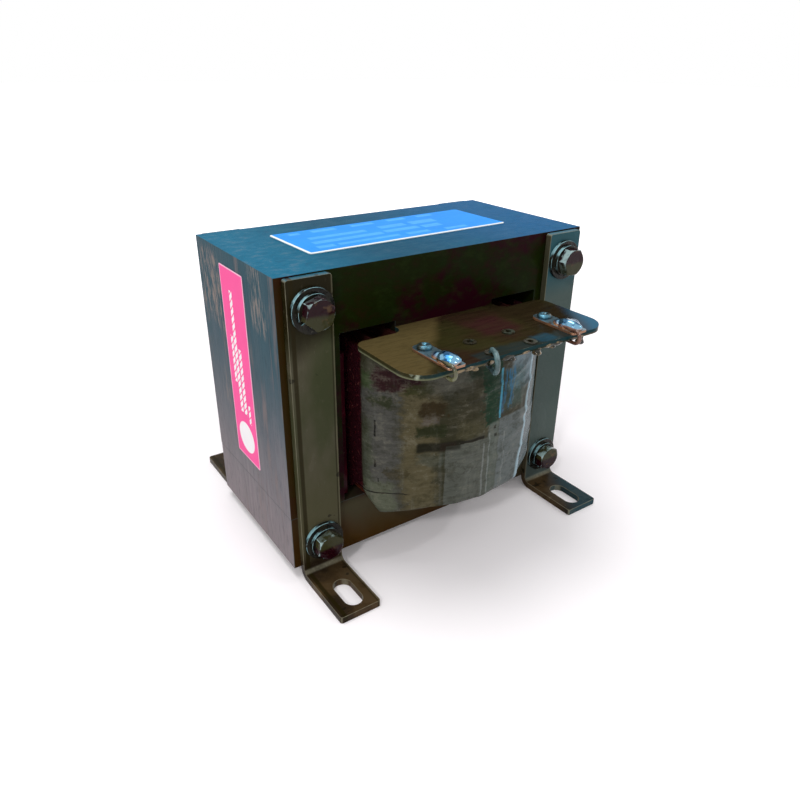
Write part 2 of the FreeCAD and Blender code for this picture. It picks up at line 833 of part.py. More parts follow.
def make_tab_lead(label, tab_across, rear):
    """A bare coil end that leaves the wrap, hooks round a tab's tip and lies on the tab."""
    body = new_body(label)
    radius = s.tab_lead_diameter / 2
    across = tab_across - s.tab_lead_shift
    inner_side = across - radius if across.value > 0 else across + radius
    start = -(crown_reach(wrap_outside, inner_side) + s.lead_gap)
    bend = -(board_tip + s.tab_overhang + s.lead_seat_gap)
    end = -(core_face + s.tab_lead_end_reach)
    high = tab_top + s.lead_seat_gap + radius
    path = new_sketch(body, "YZ_Plane", across)
    draw_hook(path, start, bend, end, high, s.tab_lead_hook_radius)
    sweep_round(body, path, across, start, high - 2 * s.tab_lead_hook_radius,
                s.tab_lead_diameter)
    if rear:
        turn_to_rear(body)
    return body


def make_sleeved_lead(label, eyelet_across):
    """A sleeved coil end that hooks round the board's edge and dips into an eyelet.

    It is drawn with the eyelet's axis at the origin and then turned to one side.
    """
    body = new_body(label)
    radius = s.eyelet_bore / 2 - s.sleeve_clearance
    elbow = radius + s.sleeve_elbow_space
    angle = math.radians(s.sleeve_angle.value)
    eyelet_along = core_face + s.eyelet_outer_reach
    start = ((eyelet_along - wrap_outside.crown) / math.cos(angle)
             - radius * math.tan(angle) - s.lead_gap)
    bend = -((board_tip - eyelet_along) / math.cos(angle) + s.lead_seat_gap)
    high = board_top + s.eyelet_flange_height + s.lead_gap + radius
    path = new_sketch(body, "YZ_Plane")
    draw_hook(path, start, bend, -elbow, high, s.sleeve_hook_radius)
    draw_elbow(path, elbow, high, board_bottom)
    sweep_round(body, path, 0, start, high - 2 * s.sleeve_hook_radius, 2 * radius)
    body.Placement = Placement(Vector(0, 0, 0),
                               Rotation(Vector(0, 0, 1), -s.sleeve_angle.value))
    bind(body, "Placement.Base.x", eyelet_across)
    bind(body, "Placement.Base.y", -eyelet_along)


def make_solder(label, leads, rear):
    """Domes of solder that hold the leads on the tabs, as one node."""
    facing = 1 if rear else -1
    domes = []
    for across, lead in leads:
        dome = doc.addObject("Part::Ellipsoid", "Dome")
        bind(dome, "Radius1", s.solder_height)
        bind(dome, "Radius2", s.solder_half_width)
        bind(dome, "Radius3", s.solder_half_length)
        dome.Angle1 = 0
        bind(dome, "Placement.Base.x", across)
        bind(dome, "Placement.Base.y", facing * (core_face + s.solder_reach))
        bind(dome, "Placement.Base.z", tab_top)
        joint = doc.addObject("Part::Cut", "Joint")
        joint.Base = dome
        joint.Tool = lead
        domes.append(joint)
    group = doc.addObject("Part::Compound", label)
    group.Label = label
    group.Links = domes
    nodes[label] = group


def make_terminals():
    front_places = {"left": -s.terminal_spread, "right": as_size(1) * s.terminal_spread}
    rear_places = [s.terminal_pitch * step for step in (-1.5, -0.5, 0.5, 1.5)]
    eyelets = [(across, reach) for across in (s.eyelet_left_place, s.eyelet_right_place)
               for reach in (s.eyelet_inner_reach, s.eyelet_outer_reach)]
    make_board("front_terminal_board", False, front_places.values(), eyelets)
    make_board("rear_terminal_board", True, rear_places, [])
    upright = Rotation()
    front_rivets = [(across, -(core_face + s.rivet_reach), board_bottom, upright)
                    for across in front_places.values()]
    rear_rivets = [(across, core_face + s.rivet_reach, board_bottom, upright)
                   for across in rear_places]
    link_group("terminal_rivets", make_rivet_template(), front_rivets + rear_rivets)
    link_group("board_eyelets", make_eyelet_template(),
               [(across, -(core_face + reach), board_bottom, upright)
                for across, reach in eyelets])
    front_leads = []
    for name, across in front_places.items():
        make_tab(f"front_terminal_{name}", across, False)
        front_leads.append((across, make_tab_lead(f"front_lead_{name}", across, False)))
    make_sleeved_lead("front_lead_middle", s.eyelet_left_place)
    make_solder("front_solder_joints", front_leads, False)
    rear_leads = []
    for number, across in enumerate(rear_places, start=1):
        make_tab(f"rear_terminal_{number}", across, True)
        rear_leads.append((-across, make_tab_lead(f"rear_lead_{number}", across, True)))
    make_solder("rear_solder_joints", rear_leads, True)


# Plates stuck on the core

def make_nameplate():
    body = new_body("nameplate")
    sketch = new_sketch(body, "XY_Plane")
    across, along = s.nameplate_width / 2, s.nameplate_depth / 2
    draw_rectangle(sketch, -across, across, -along, along)
    pad(body, sketch, s.nameplate_thickness)
    round_edges(body, s.nameplate_corner_radius, lambda edge: runs_along(edge, 2))
    body.Placement = Placement(Vector(0, 0, 0),
                               Rotation(Vector(0, 0, 1), s.nameplate_angle.value))
    bind(body, "Placement.Base.y", s.nameplate_shift)
    bind(body, "Placement.Base.z", core_top)


def make_side_label():
    body = new_body("side_label")
    sketch = new_sketch(body, "YZ_Plane", -half_core)
    middle = s.label_shift
    draw_rectangle(sketch, middle - s.label_width / 2, middle + s.label_width / 2,
                   s.label_bottom, s.label_bottom + s.label_height)
    pad(body, sketch, s.label_thickness, backwards=True)
    round_edges(body, s.label_corner_radius, lambda edge: runs_along(edge, 0))


make_e_stack()
make_i_stack()
make_coil()
make_wedge("left_coil_wedge", -1)
make_wedge("right_coil_wedge", 1)
make_strap("front_left_strap", -1, False)
make_strap("front_right_strap", 1, False)
make_strap("rear_right_strap", -1, True)
make_strap("rear_left_strap", 1, True)
make_fasteners()
make_terminals()
make_nameplate()
make_side_label()
doc.recompute()

# Every object has to be sound before anything is written
for thing in doc.Objects:
    if "Invalid" in thing.State or "Error" in thing.State:
        raise RuntimeError(f"{thing.Name} ({thing.Label}) failed: {thing.State}")
for label, thing in nodes.items():
    if thing.Shape.isNull() or not thing.Shape.isValid() or not thing.Shape.Solids:
        raise RuntimeError(f"{label} has no sound solid")

os.makedirs("parts", exist_ok=True)
for label, thing in nodes.items():
    thing.Shape.exportStep(f"parts/{label}.step")
    box = thing.Shape.BoundBox
    print(f"{label}: {len(thing.Shape.Solids)} solid(s), {thing.Shape.Volume / 1000:.2f} cm3, "
          f"x {box.XMin:.1f} to {box.XMax:.1f}, y {box.YMin:.1f} to {box.YMax:.1f}, "
          f"z {box.ZMin:.1f} to {box.ZMax:.1f}")
print(f"{len(nodes)} nodes")
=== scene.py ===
# %% [markdown]
# # A laminated chassis transformer
#
# This lesson dresses a transformer that stands on four slotted feet. The
# solids come from a CAD model, which fixes every size. Here they get softer
# edges, a wound and wrapped coil, solder, varnish and light. All lengths are
# in metres, and the front looks along -Y.

# %% Load the frame
import bmesh
import bpy
import math
from mathutils import Matrix, Vector, noise


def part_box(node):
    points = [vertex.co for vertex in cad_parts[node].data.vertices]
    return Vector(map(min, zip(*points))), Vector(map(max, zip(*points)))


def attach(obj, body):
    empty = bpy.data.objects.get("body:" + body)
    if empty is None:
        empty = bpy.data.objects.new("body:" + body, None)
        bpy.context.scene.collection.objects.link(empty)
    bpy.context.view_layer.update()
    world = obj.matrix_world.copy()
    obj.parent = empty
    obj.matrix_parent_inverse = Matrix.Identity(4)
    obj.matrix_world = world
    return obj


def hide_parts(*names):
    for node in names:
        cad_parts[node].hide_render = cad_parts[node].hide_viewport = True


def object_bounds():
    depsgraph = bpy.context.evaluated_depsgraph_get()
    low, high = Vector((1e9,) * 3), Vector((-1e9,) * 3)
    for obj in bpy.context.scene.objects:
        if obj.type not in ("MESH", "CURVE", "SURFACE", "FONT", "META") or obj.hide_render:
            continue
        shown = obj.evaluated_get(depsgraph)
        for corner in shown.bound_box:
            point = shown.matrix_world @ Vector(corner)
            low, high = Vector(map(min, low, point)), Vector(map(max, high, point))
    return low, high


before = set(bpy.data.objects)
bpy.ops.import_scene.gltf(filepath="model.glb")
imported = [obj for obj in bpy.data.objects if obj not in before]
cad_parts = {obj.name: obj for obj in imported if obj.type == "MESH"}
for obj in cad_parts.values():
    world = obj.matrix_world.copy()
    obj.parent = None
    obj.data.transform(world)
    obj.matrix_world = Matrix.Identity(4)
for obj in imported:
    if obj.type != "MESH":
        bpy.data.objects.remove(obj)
MM = 0.001
cad_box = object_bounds()
waiting = set(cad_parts)
print("CAD box", [[round(value, 4) for value in corner] for corner in cad_box])

# %% [markdown]
# ## The camera
#
# The photograph was taken from the front left, a little above the top. The
# place and the lens were worked out from the core's straight edges. A camera
# looks along its own -Z, so its axes are built from the viewing direction:
# first level, then turned a little about that direction.

# %% Place the camera
yaw, pitch, roll = (math.radians(angle) for angle in (34.72, 26.80, 0.64))
forward = Vector((math.sin(yaw) * math.cos(pitch), math.cos(yaw) * math.cos(pitch),
                  -math.sin(pitch)))
level = Vector((math.cos(yaw), -math.sin(yaw), 0))
upright = level.cross(forward)
right = level * math.cos(roll) + upright * math.sin(roll)
up = upright * math.cos(roll) - level * math.sin(roll)
axes = Matrix((right, up, -forward)).transposed().to_4x4()
CAMERA_PLACE = (-0.16771, -0.24746, 0.19925)
FOCAL_PIXELS, PICTURE_PIXELS, SENSOR_WIDTH = 676.0, 800, 36
camera = bpy.data.objects.new("camera", bpy.data.cameras.new("camera"))
camera.matrix_world = Matrix.Translation(CAMERA_PLACE) @ axes
camera.data.sensor_width = SENSOR_WIDTH
camera.data.lens = FOCAL_PIXELS / PICTURE_PIXELS * SENSOR_WIDTH
bpy.context.scene.collection.objects.link(camera)
bpy.context.scene.camera = camera
print("camera lens", round(camera.data.lens, 2), "mm")

# %% [markdown]
# ## Arithmetic on shader sockets
#
# A material is a graph of nodes. Written out link by link it is hard to read,
# so one small class wraps a socket and lets Python's operators add the Math
# nodes. `1 - mask` works too, because the reflected forms are there.


# %% A socket with operators
def operator(operation, reflected=False):
    """A method that adds the Math node of one operator."""
    def method(first, second):
        values = (second, first) if reflected else (first, second)
        return first.graph.math(operation, *values)
    return method


class Socket:
    def __init__(self, graph, link):
        self.graph = graph
        self.link = link

    __add__ = __radd__ = operator("ADD")
    __mul__ = __rmul__ = operator("MULTIPLY")
    __truediv__ = operator("DIVIDE")
    __sub__ = operator("SUBTRACT")
    __rsub__ = operator("SUBTRACT", reflected=True)

    def __neg__(self):
        return self * -1.0

    def __abs__(self):
        return self.graph.math("ABSOLUTE", self)


# %% [markdown]
# ## One material, one graph
#
# Colours are written as they look on a screen, 0 to 255, and turned into the
# linear values that the renderer adds up. The first class adds nodes of any
# type to any tree, and serves the white world too.


# %% Nodes and colours
def colour(red, green, blue):
    parts = [value / 255 for value in (red, green, blue)]
    return tuple(p / 12.92 if p <= 0.04045 else ((p + 0.055) / 1.055) ** 2.4 for p in parts) + (1,)


class Nodes:
    def __init__(self, tree):
        self.tree = tree
        tree.nodes.clear()

    def node(self, kind, settings=None, inputs=None, output=0):
        node = self.tree.nodes.new(kind)
        for name, value in (settings or {}).items():
            setattr(node, name, value)
        for name, value in (inputs or {}).items():
            if isinstance(value, Socket):
                self.tree.links.new(value.link, node.inputs[name])
            else:
                node.inputs[name].default_value = value
        return Socket(self, node.outputs[output]) if node.outputs else None

    def math(self, operation, first, second=0.0):
        return self.node("ShaderNodeMath", {"operation": operation}, {0: first, 1: second})

    def larger(self, first, *others):
        for other in others:
            first = self.math("MAXIMUM", first, other)
        return first

    def seen(self):
        """1 for rays that show a thing to the camera, 0 for those that only carry light."""
        return self.larger(*[self.node("ShaderNodeLightPath", output=f"Is {kind} Ray")
                             for kind in ("Camera", "Glossy", "Transmission")])


print("pure screen red is", colour(255, 0, 0))

# %% [markdown]
# A finish needs a few more steps: noise that can be stretched, a soft step,
# and coats of colour that are laid one over the other through masks, the way
# dirt and varnish lie on a real surface; some coats are painted light and
# shade. Nearly all faces here look along an axis. Where no part of the normal
# is near 1, the surface is a rounded edge or a bend, so `edge` marks the lines
# that get worn pale and painted highlights.


# %% The graph of one material
class Graph(Nodes):
    def __init__(self, name):
        self.material = bpy.data.materials.new(name)
        self.material.use_nodes = True
        super().__init__(self.material.node_tree)
        self.place = self.node("ShaderNodeTexCoord", output="Object")
        self.normal = self.node("ShaderNodeNewGeometry", output="Normal")
        self.x, self.y, self.z = self.split(self.place)
        self.nx, self.ny, self.nz = self.split(self.normal)
        steepest = self.larger(abs(self.nx), abs(self.ny), abs(self.nz))
        # edge: rounded edges, whose pale coats are wear and painted highlight lines
        self.edge = 1 - self.step(steepest, 0.84, 0.985)

    def split(self, vector):
        return [self.node("ShaderNodeSeparateXYZ", None, {0: vector}, axis) for axis in "XYZ"]

    def step(self, value, low, high):
        """0 below low, 1 above high, and a soft slope between."""
        return self.node("ShaderNodeMapRange", {"interpolation_type": "SMOOTHSTEP"},
                         {"Value": value, "From Min": low, "From Max": high})

    def band(self, value, low, high, soft):
        """1 between low and high, 0 outside."""
        return self.step(value, low - soft, low + soft) * (1 - self.step(value, high - soft,
                                                                         high + soft))

    def box(self, u, v, bounds, soft):
        """1 inside a rectangle given as low and high u, then low and high v."""
        return self.band(u, bounds[0], bounds[1], soft) * self.band(v, bounds[2], bounds[3], soft)

    def boxes(self, u, v, rectangles, soft):
        """1 inside any of the rectangles."""
        return self.larger(*[self.box(u, v, bounds, soft) for bounds in rectangles])

    def mix(self, factor, first, second):
        """A mix of two colours, each a socket or three values from 0 to 255."""
        first, second = (tone if isinstance(tone, Socket) else colour(*tone)
                         for tone in (first, second))
        return self.node("ShaderNodeMix", {"data_type": "RGBA"},
                         {0: factor, 6: first, 7: second}, 2)

    def layers(self, tone, *coats):
        """Lays coats over a tone, each with its mask and its colour."""
        for mask, shade in coats:
            tone = self.mix(mask, tone, shade)
        return tone

    def paint(self, tone, u, v, patches, where):
        """Lays soft rectangles over a tone, as bounds, softness, share and colour."""
        for bounds, soft, share, shade in patches:
            tone = self.mix(self.box(u, v, bounds, soft) * share * where, tone, shade)
        return tone

    def rim_light(self, share):
        """Painted highlights on rounded edges that look up and to the left, in broken arcs."""
        towards = self.nz * 0.75 - self.nx * 0.65
        arcs = self.step(self.noise(330, detail=3.0, shift=31.0), share, share + 0.2)
        return self.edge * self.step(towards, 0.1, 0.5) * arcs

    def noise(self, stretch, detail=3.0, roughness=0.55, shift=0.0, distortion=0.0):
        """Noise with a number of features per metre, or one each along X, Y and Z."""
        if not isinstance(stretch, tuple):
            stretch = (stretch, stretch, stretch)
        scaled = self.node("ShaderNodeVectorMath", {"operation": "MULTIPLY_ADD"},
                           {0: self.place, 1: stretch, 2: (shift, shift * 1.7, shift * 0.6)})
        return self.node("ShaderNodeTexNoise", None,
                         {"Vector": scaled, "Scale": 1.0, "Detail": detail,
                          "Roughness": roughness, "Distortion": distortion})

    def finish(self, tone, rough, relief, depth, gloss=0.5, **more):
        """Ends a finish; its relief is given with its depth in millimetres."""
        normal = self.node("ShaderNodeBump", None, {"Height": relief, "Distance": depth * MM})
        return self.shade(Base_Color=tone, Roughness=rough, Normal=normal,
                          Specular_IOR_Level=gloss, **more)

    def shade(self, **inputs):
        """Ends the graph in a principled shader whose inputs are given by name."""
        named = {name.replace("_", " "): value for name, value in inputs.items()}
        shader = self.node("ShaderNodeBsdfPrincipled", None, named)
        self.node("ShaderNodeOutputMaterial", None, {"Surface": shader})
        return self.material


print("shader arithmetic ready")

# %% [markdown]
# ## Floor and light
#
# The transformer stands on a plain pale table. Only the near floor takes its
# light from the lamps, and it keeps the soft shadow. Further out the paper
# glows by itself for camera, glossy and clear rays until it is as white as the
# world behind it, so there is no horizon, and polished parts mirror the same
# white. Three lamps light the object: a big soft one overhead, a smaller one
# from the front left, and a small one on the right, where the upper rims of
# washers, rivets and beads mirror it as crisp lights.


# %% The floor
def plain_object(name, vertices, faces):
    mesh = bpy.data.meshes.new(name)
    mesh.from_pydata([tuple(v) for v in vertices], [], faces)
    mesh.update()
    thing = bpy.data.objects.new(name, mesh)
    bpy.context.scene.collection.objects.link(thing)
    return thing


FLOOR_Z, FLOOR_REACH = cad_box[0][2], 6.0


def make_floor():
    corners = [(-1, -1), (1, -1), (1, 1), (-1, 1)]
    floor = plain_object("floor", [(x * FLOOR_REACH, y * FLOOR_REACH, FLOOR_Z)
                                   for x, y in corners], [(0, 1, 2, 3)])
    graph = Graph("floor_paper")
    cloud = graph.noise(1.5, detail=2.0)
    tone = graph.mix(cloud, (244, 240, 243), (250, 246, 248))
    away = graph.math("SQRT", graph.x * graph.x + graph.y * graph.y)
    shining = (0.1 + 0.9 * graph.step(away, 0.1, 1.1)) * graph.seen()
    glow = graph.mix(shining, (0, 0, 0), (255, 252, 253))
    floor.data.materials.append(graph.shade(Base_Color=tone, Roughness=0.85,
                                            Emission_Color=glow, Emission_Strength=1.0))


make_floor()
print("floor at z =", round(FLOOR_Z, 4))


# %% World and lamps
def make_world():
    world = bpy.data.worlds.new("studio")
    bpy.context.scene.world = world
    world.use_nodes = True
    nodes = Nodes(world.node_tree)
    strength = nodes.node("ShaderNodeMapRange", None,
                          {"Value": nodes.seen(), "To Min": 0.55, "To Max": 1.0})
    light = nodes.node("ShaderNodeBackground", None,
                       {"Color": (1, 1, 1, 1), "Strength": strength})
    nodes.node("ShaderNodeOutputWorld", None, {"Surface": light})


LAMP_TARGET = Vector((0, 0, 0.06))


def make_lamp(name, place, size, power):
    lamp = bpy.data.objects.new(name, bpy.data.lights.new(name, "AREA"))
    lamp.data.shape = "DISK"
    lamp.data.size = size
    lamp.data.energy = power
    direction = LAMP_TARGET - Vector(place)
    lamp.rotation_euler = direction.to_track_quat("-Z", "Y").to_euler()
    lamp.location = place
    bpy.context.scene.collection.objects.link(lamp)


make_world()
make_lamp("overhead_lamp", (-0.2, 0.2, 1.5), 0.8, 11)
make_lamp("key_lamp", (-1.05, -0.8, 1.05), 0.14, 6.5)
make_lamp("rim_lamp", (0.85, -0.75, 1.2), 0.1, 2.2)
bpy.context.scene.view_settings.view_transform = "Standard"

# %% [markdown]
# ## Soft edges on the CAD pieces
#
# Stamped plates, sheared bar and turned screws never have knife edges, and
# varnish rounds them further. A dressed copy of a node joins the doubled
# corners of the imported mesh, melts flat triangles together and bevels what
# is still sharp. The bevel catches the light as a thin bright line, which is
# how a black object shows its shape.


# %% Dressed copies
def dress(node, material, width=0.25, segments=2, angle=28):
    """A copy of a CAD node with soft edges, which stands for that node."""
    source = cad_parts[node]
    mesh = source.data.copy()
    mesh.name = f"{node}_dressed"
    mesh.materials.clear()
    mesh.materials.append(material)
    piece = bpy.data.objects.new(f"{node}_dressed", mesh)
    bpy.context.scene.collection.objects.link(piece)
    work = bmesh.new()
    work.from_mesh(mesh)
    bmesh.ops.remove_doubles(work, verts=work.verts, dist=2e-6)
    bmesh.ops.dissolve_limit(work, angle_limit=math.radians(0.6), verts=work.verts,
                             edges=work.edges)
    work.to_mesh(mesh)
    work.free()
    mesh.shade_smooth()
    bevel = piece.modifiers.new("soft_edges", "BEVEL")
    bevel.width = width * MM
    bevel.segments = segments
    bevel.limit_method = "ANGLE"
    bevel.angle_limit = math.radians(angle)
    weights = piece.modifiers.new("flat_faces", "WEIGHTED_NORMAL")
    weights.keep_sharp = True
    stand_for(piece, node)


def stand_for(piece, node):
    """Rides on the one body and takes the place of a CAD node."""
    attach(piece, "root")
    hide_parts(node)
    waiting.discard(node)


def coat(node, material):
    """Keeps a CAD node's shape and gives it a better material."""
    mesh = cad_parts[node].data
    mesh.materials.clear()
    mesh.materials.append(material)
    waiting.discard(node)


print("nodes to dress:", len(waiting))

# %% [markdown]
# ## The core
#
# The core is a pile of thin steel plates, soaked in black baking varnish. On
# the top and the sides the plate edges show as faint streaks that run along
# the plates, so the noise there is squeezed hard across the stack. Patches
# beside the label are scraped pale. The top is a painted teal and blue
# reflection, and the sides a painted reflection, pale grey below and teal
# above. The front is one flat plate under a thick coat, nearly black, with
# olive and wine-red tones where it is thin. Rounded edges get pale lines of
# wear and painted highlight. Masks on the normal and the place tell the three
# kinds of face apart.


# %% Varnished core plates
SIDE_PATCHES = [
    ((15, 37, 97, 129), 3.0, 0.62, (164, 140, 126)),
    ((-30, -18, 106, 131), 2.5, 0.62, (156, 138, 126)),
    ((14, 24, 60, 76), 3.0, 0.35, (140, 120, 106)),
]


def core_side(graph, cloud, streak, rust):
    """Painted reflection, pale grey below and teal above, with scraped patches beside the label.
    """
    scrape = graph.noise((90, 620, 110), detail=6.0, roughness=0.75, shift=33.0)
    drift = (cloud - 0.5) * 16
    # painted reflection: the pale grey base below and the teal coat above
    tone = graph.layers(
        (146, 136, 138),
        (graph.step(graph.z + (cloud - 0.5) * 0.05, 0.0, 0.115), (42, 82, 94)),
        (streak * 0.5, (62, 62, 70)),
        (rust * 0.5, (142, 120, 114)))
    tone = graph.paint(tone, graph.y / MM + drift, graph.z / MM + drift, SIDE_PATCHES,
                       graph.step(scrape, 0.46, 0.62))
    return graph.layers(tone, (graph.step(1 - scrape, 0.5, 0.66) * 0.3, (34, 52, 58)))


def core_top(graph, cloud, rust):
    """A painted reflection, teal on the left and blue on the right, scuffed most at the left end.
    """
    scuff = graph.noise((150, 210, 150), detail=6.0, roughness=0.75, shift=37.0)
    leftmost = graph.step(-graph.x + (cloud - 0.5) * 0.03, 0.045, 0.07)
    # the top's whole colour is a painted teal and blue reflection
    return graph.layers(
        (4, 72, 98),
        (graph.step(graph.x, -0.02, 0.07), (4, 84, 130)),
        (graph.step(-graph.x, 0.02, 0.07), (6, 98, 128)),
        (rust * 0.3, (44, 104, 122)),
        (graph.step(scuff, 0.5, 0.64) * 0.35, (10, 58, 90)),
        (graph.step(1 - scuff, 0.5, 0.62) * (0.1 + leftmost * 0.3), (92, 116, 132)))


def core_face(graph, cloud, pool):
    """Olive and wine red, paler brown and grey on the bar below, brown on the left margin."""
    grit = graph.noise((110, 110, 190), detail=6.0, roughness=0.75, shift=19.0)
    upward = graph.z + graph.x * 0.2 + (cloud - 0.5) * 0.02
    lower_bar_tone = graph.mix(graph.step(upward, -0.004, 0.02), (66, 42, 8), (72, 66, 50))
    return graph.layers(
        (20, 28, 4),
        (graph.step(pool, 0.45, 0.57), (36, 4, 16)),
        (graph.step(cloud, 0.55, 0.75) * 0.5, (16, 34, 16)),
        (graph.step(grit, 0.48, 0.68) * 0.35, (36, 48, 16)),
        (graph.step(1 - grit, 0.48, 0.68) * 0.35, (44, 12, 14)),
        # paler brown and grey low on the front bar, and a brown strip on the left margin
        ((1 - graph.step(graph.z, 0.026, 0.034)) * 0.85, lower_bar_tone),
        (graph.step(-graph.x, 0.0725, 0.074) * 0.7, (52, 34, 12)))


def varnished_plates():
    graph = Graph("varnished_plates")
    top = graph.step(graph.nz, 0.55, 0.85) * graph.step(graph.z, 0.12, 0.125)
    side = graph.step(abs(graph.nx), 0.55, 0.85) * graph.step(abs(graph.x), 0.07, 0.072)
    streak = graph.noise((14, 900, 14), detail=4.0)
    fine = graph.noise((30, 3200, 30), detail=2.0, shift=4.0)
    cloud = graph.noise((55, 90, 24), detail=4.0, shift=9.0)
    pool = graph.noise((26, 26, 34), detail=6.0, roughness=0.66, shift=2.0)
    rust = graph.step(cloud + (streak - 0.5) * 0.5, 0.55, 0.78)
    tone = graph.layers(
        core_face(graph, cloud, pool),
        (side, core_side(graph, cloud, streak, rust)),
        (top, core_top(graph, cloud, rust)),
        # pale lines on rounded edges: wear and painted highlight
        (graph.edge * 0.35 * (streak + 0.3), (92, 112, 112)))
    edge_on = graph.larger(top, side)
    relief = (streak * 0.7 + fine * 0.5) * edge_on + pool * (1 - edge_on) * 1.2 + cloud * 0.5
    rough = 0.16 + edge_on * 0.22 + cloud * 0.14
    return graph.finish(tone, rough, relief, 0.12, 0.02)


plates = varnished_plates()
for node in ("e_lamination_stack", "i_lamination_stack"):
    dress(node, plates, width=0.45, segments=3)
print("core dressed, nodes left:", len(waiting))

# %% [markdown]
# ## Dark varnish
#
# Washers, nuts and wedges were dipped with the rest. One function makes the
# dark finish of each from two tones, the size of its blotches and its gloss,
# with painted highlight arcs on the rounded edges that look up and to the left.


# %% Dark varnish over steel
def dark_varnish(name, deep, thin, blotch, rough, relief, specular, rim=0.0):
    graph = Graph(name)
    cloud = graph.noise((blotch, blotch, blotch * 0.6), detail=4.0)
    grain = graph.noise(900, detail=3.0, shift=3.0)
    tone = graph.layers(
        deep,
        (graph.step(cloud, 0.35, 0.68), thin),
        (graph.step(grain, 0.62, 0.8) * 0.35, (120, 116, 104)),
        # painted highlight arcs on the upper left rims
        (graph.rim_light(0.3) * rim, (150, 196, 204)))
    bumps = cloud * 1.4 + grain * 0.5
    return graph.finish(tone, rough + (cloud - 0.5) * 0.25, bumps, relief, specular)


print("dark varnish ready")

# %% [markdown]
# ## Straps
#
# The straps are flat bar, bent cold. Their varnish is thinner than on the
# core, so grey steel shows through. The feet were handled more than the legs,
# and the varnish on them dried brown. The rounded edges are worn pale and carry
# painted highlight lines, dark and pale runs follow the leg's two sides, and a
# few dark specks sit between them; the dark run on the left is a painted gap
# shadow. Painted light adds a paler reflection low on the legs, painted shade
# high on the left legs, and teal reflections on the right legs, on the top ends
# and on the right foot tips.


# %% Mounting straps
def strap_finish():
    graph = Graph("strap_varnish")
    cloud = graph.noise((46, 46, 22), detail=4.0)
    grain = graph.noise((800, 800, 300), detail=3.0, shift=3.0)
    speck = graph.step(graph.noise(210, detail=1.0, shift=8.0), 0.71, 0.75)
    foot = 1 - graph.step(graph.z + (cloud - 0.5) * 0.02, 0.004, 0.014)
    leftward = 1 - graph.step(graph.x, 0.0, 0.01)
    # shade: painted shade high on the left legs, round the screws
    shade = graph.step(graph.z + (cloud - 0.5) * 0.03, 0.1, 0.111) * leftward
    # rightward and end: painted teal reflections on the right legs and on the top ends
    rightward = graph.step(graph.x, 0.0, 0.01) * graph.step(abs(graph.ny), 0.5, 0.9)
    end = graph.step(graph.nz, 0.4, 0.8) * graph.step(graph.z, 0.12, 0.124)
    wander = graph.x + (cloud - 0.5) * 0.8 * MM
    tone = graph.layers(
        (56, 60, 38),
        (graph.step(cloud, 0.35, 0.68), (78, 74, 60)),
        # a paler painted reflection low on the legs
        (graph.step(-graph.z, -0.07, -0.02) * 0.5, (88, 80, 62)),
        (shade * 0.9, (28, 22, 6)),
        (foot * 0.85, graph.mix(graph.step(cloud, 0.4, 0.62), (30, 16, 10), (70, 52, 30))),
        (rightward * 0.7, (72, 90, 90)),
        # a painted blue reflection on the right foot tips
        (foot * graph.step(graph.x - graph.y * 0.5, 0.088, 0.1) * 0.8, (24, 60, 70)),
        (rightward * graph.step(graph.z, 0.1, 0.116) * 0.7, (24, 82, 94)),
        (end * 0.8, (30, 92, 112)),
        (graph.step(grain, 0.6, 0.8) * 0.25, (110, 104, 88)),
        # a painted gap shadow along the leg's left side
        (graph.band(wander, -0.0722, -0.0704, 0.0003) * 0.85, (34, 28, 8)),
        (graph.band(wander, -0.0561, -0.0556, 0.0002) * 0.8, (34, 30, 14)),
        (graph.band(wander, -0.0554, -0.053, 0.0002) * leftward * 0.5, (104, 100, 80)),
        (speck * 0.7, (20, 18, 12)),
        # pale rounded edges: wear and painted highlight
        (graph.edge * (0.1 + grain * 0.55), (150, 146, 124)))
    return graph.finish(tone, 0.16 + cloud * 0.2, cloud * 1.6 + grain * 0.5, 0.08, 0.05)


strap_coat = strap_finish()
for node in ("front_left_strap", "front_right_strap", "rear_left_strap", "rear_right_strap"):
    dress(node, strap_coat, width=0.45, segments=3)
print("straps dressed, nodes left:", len(waiting))

# %% [markdown]
# ### Screws, washers and nuts
#
# The bolt ends behind the nuts carry a thread. Cutting a real helix into the
# mesh is possible, but a few ridges this small read just as well as a bump
# that winds round the screw. All four screws are mirror images about the
# middle of the core, so folding the coordinates with `abs` gives one centre.


# %% Varnished screws with a thread at their ends
BOLT_ACROSS, BOLT_LOW, BOLT_HIGH = 63.5 * MM, 17.5 * MM, 119.1 * MM
THREAD_PITCH, THREAD_START = 1.27 * MM, 42.5 * MM


def bolt_finish():
    graph = Graph("bolt_varnish")
    across = abs(graph.x) - BOLT_ACROSS
    upward = abs(graph.z - (BOLT_LOW + BOLT_HIGH) / 2) - (BOLT_HIGH - BOLT_LOW) / 2
    turn = graph.math("ARCTAN2", upward, across) / (2 * math.pi)
    thread = graph.math("PINGPONG", graph.y / THREAD_PITCH + turn, 0.5) * 2
    threaded = graph.step(graph.y, THREAD_START, THREAD_START + 1 * MM)
    cloud = graph.noise(240, detail=4.0)
    # upper: a painted dark reflection on the upper half of each head
    upper = graph.step(upward + (cloud - 0.5) * 2 * MM, -1.2 * MM, 0.6 * MM)
    tone = graph.layers(
        (50, 50, 28),
        (upper, (30, 3, 10)),
        (graph.step(cloud, 0.56, 0.7) * 0.6, (92, 70, 44)),
        # painted highlight arcs on the upper left rims
        (graph.rim_light(0.4) * 0.75, (168, 196, 196)))
    relief = cloud * 0.8 + thread * threaded
    return graph.finish(tone, 0.06 + cloud * 0.1, relief, 0.3, 0.14)


dress("through_bolts", bolt_finish(), width=0.35, segments=3)
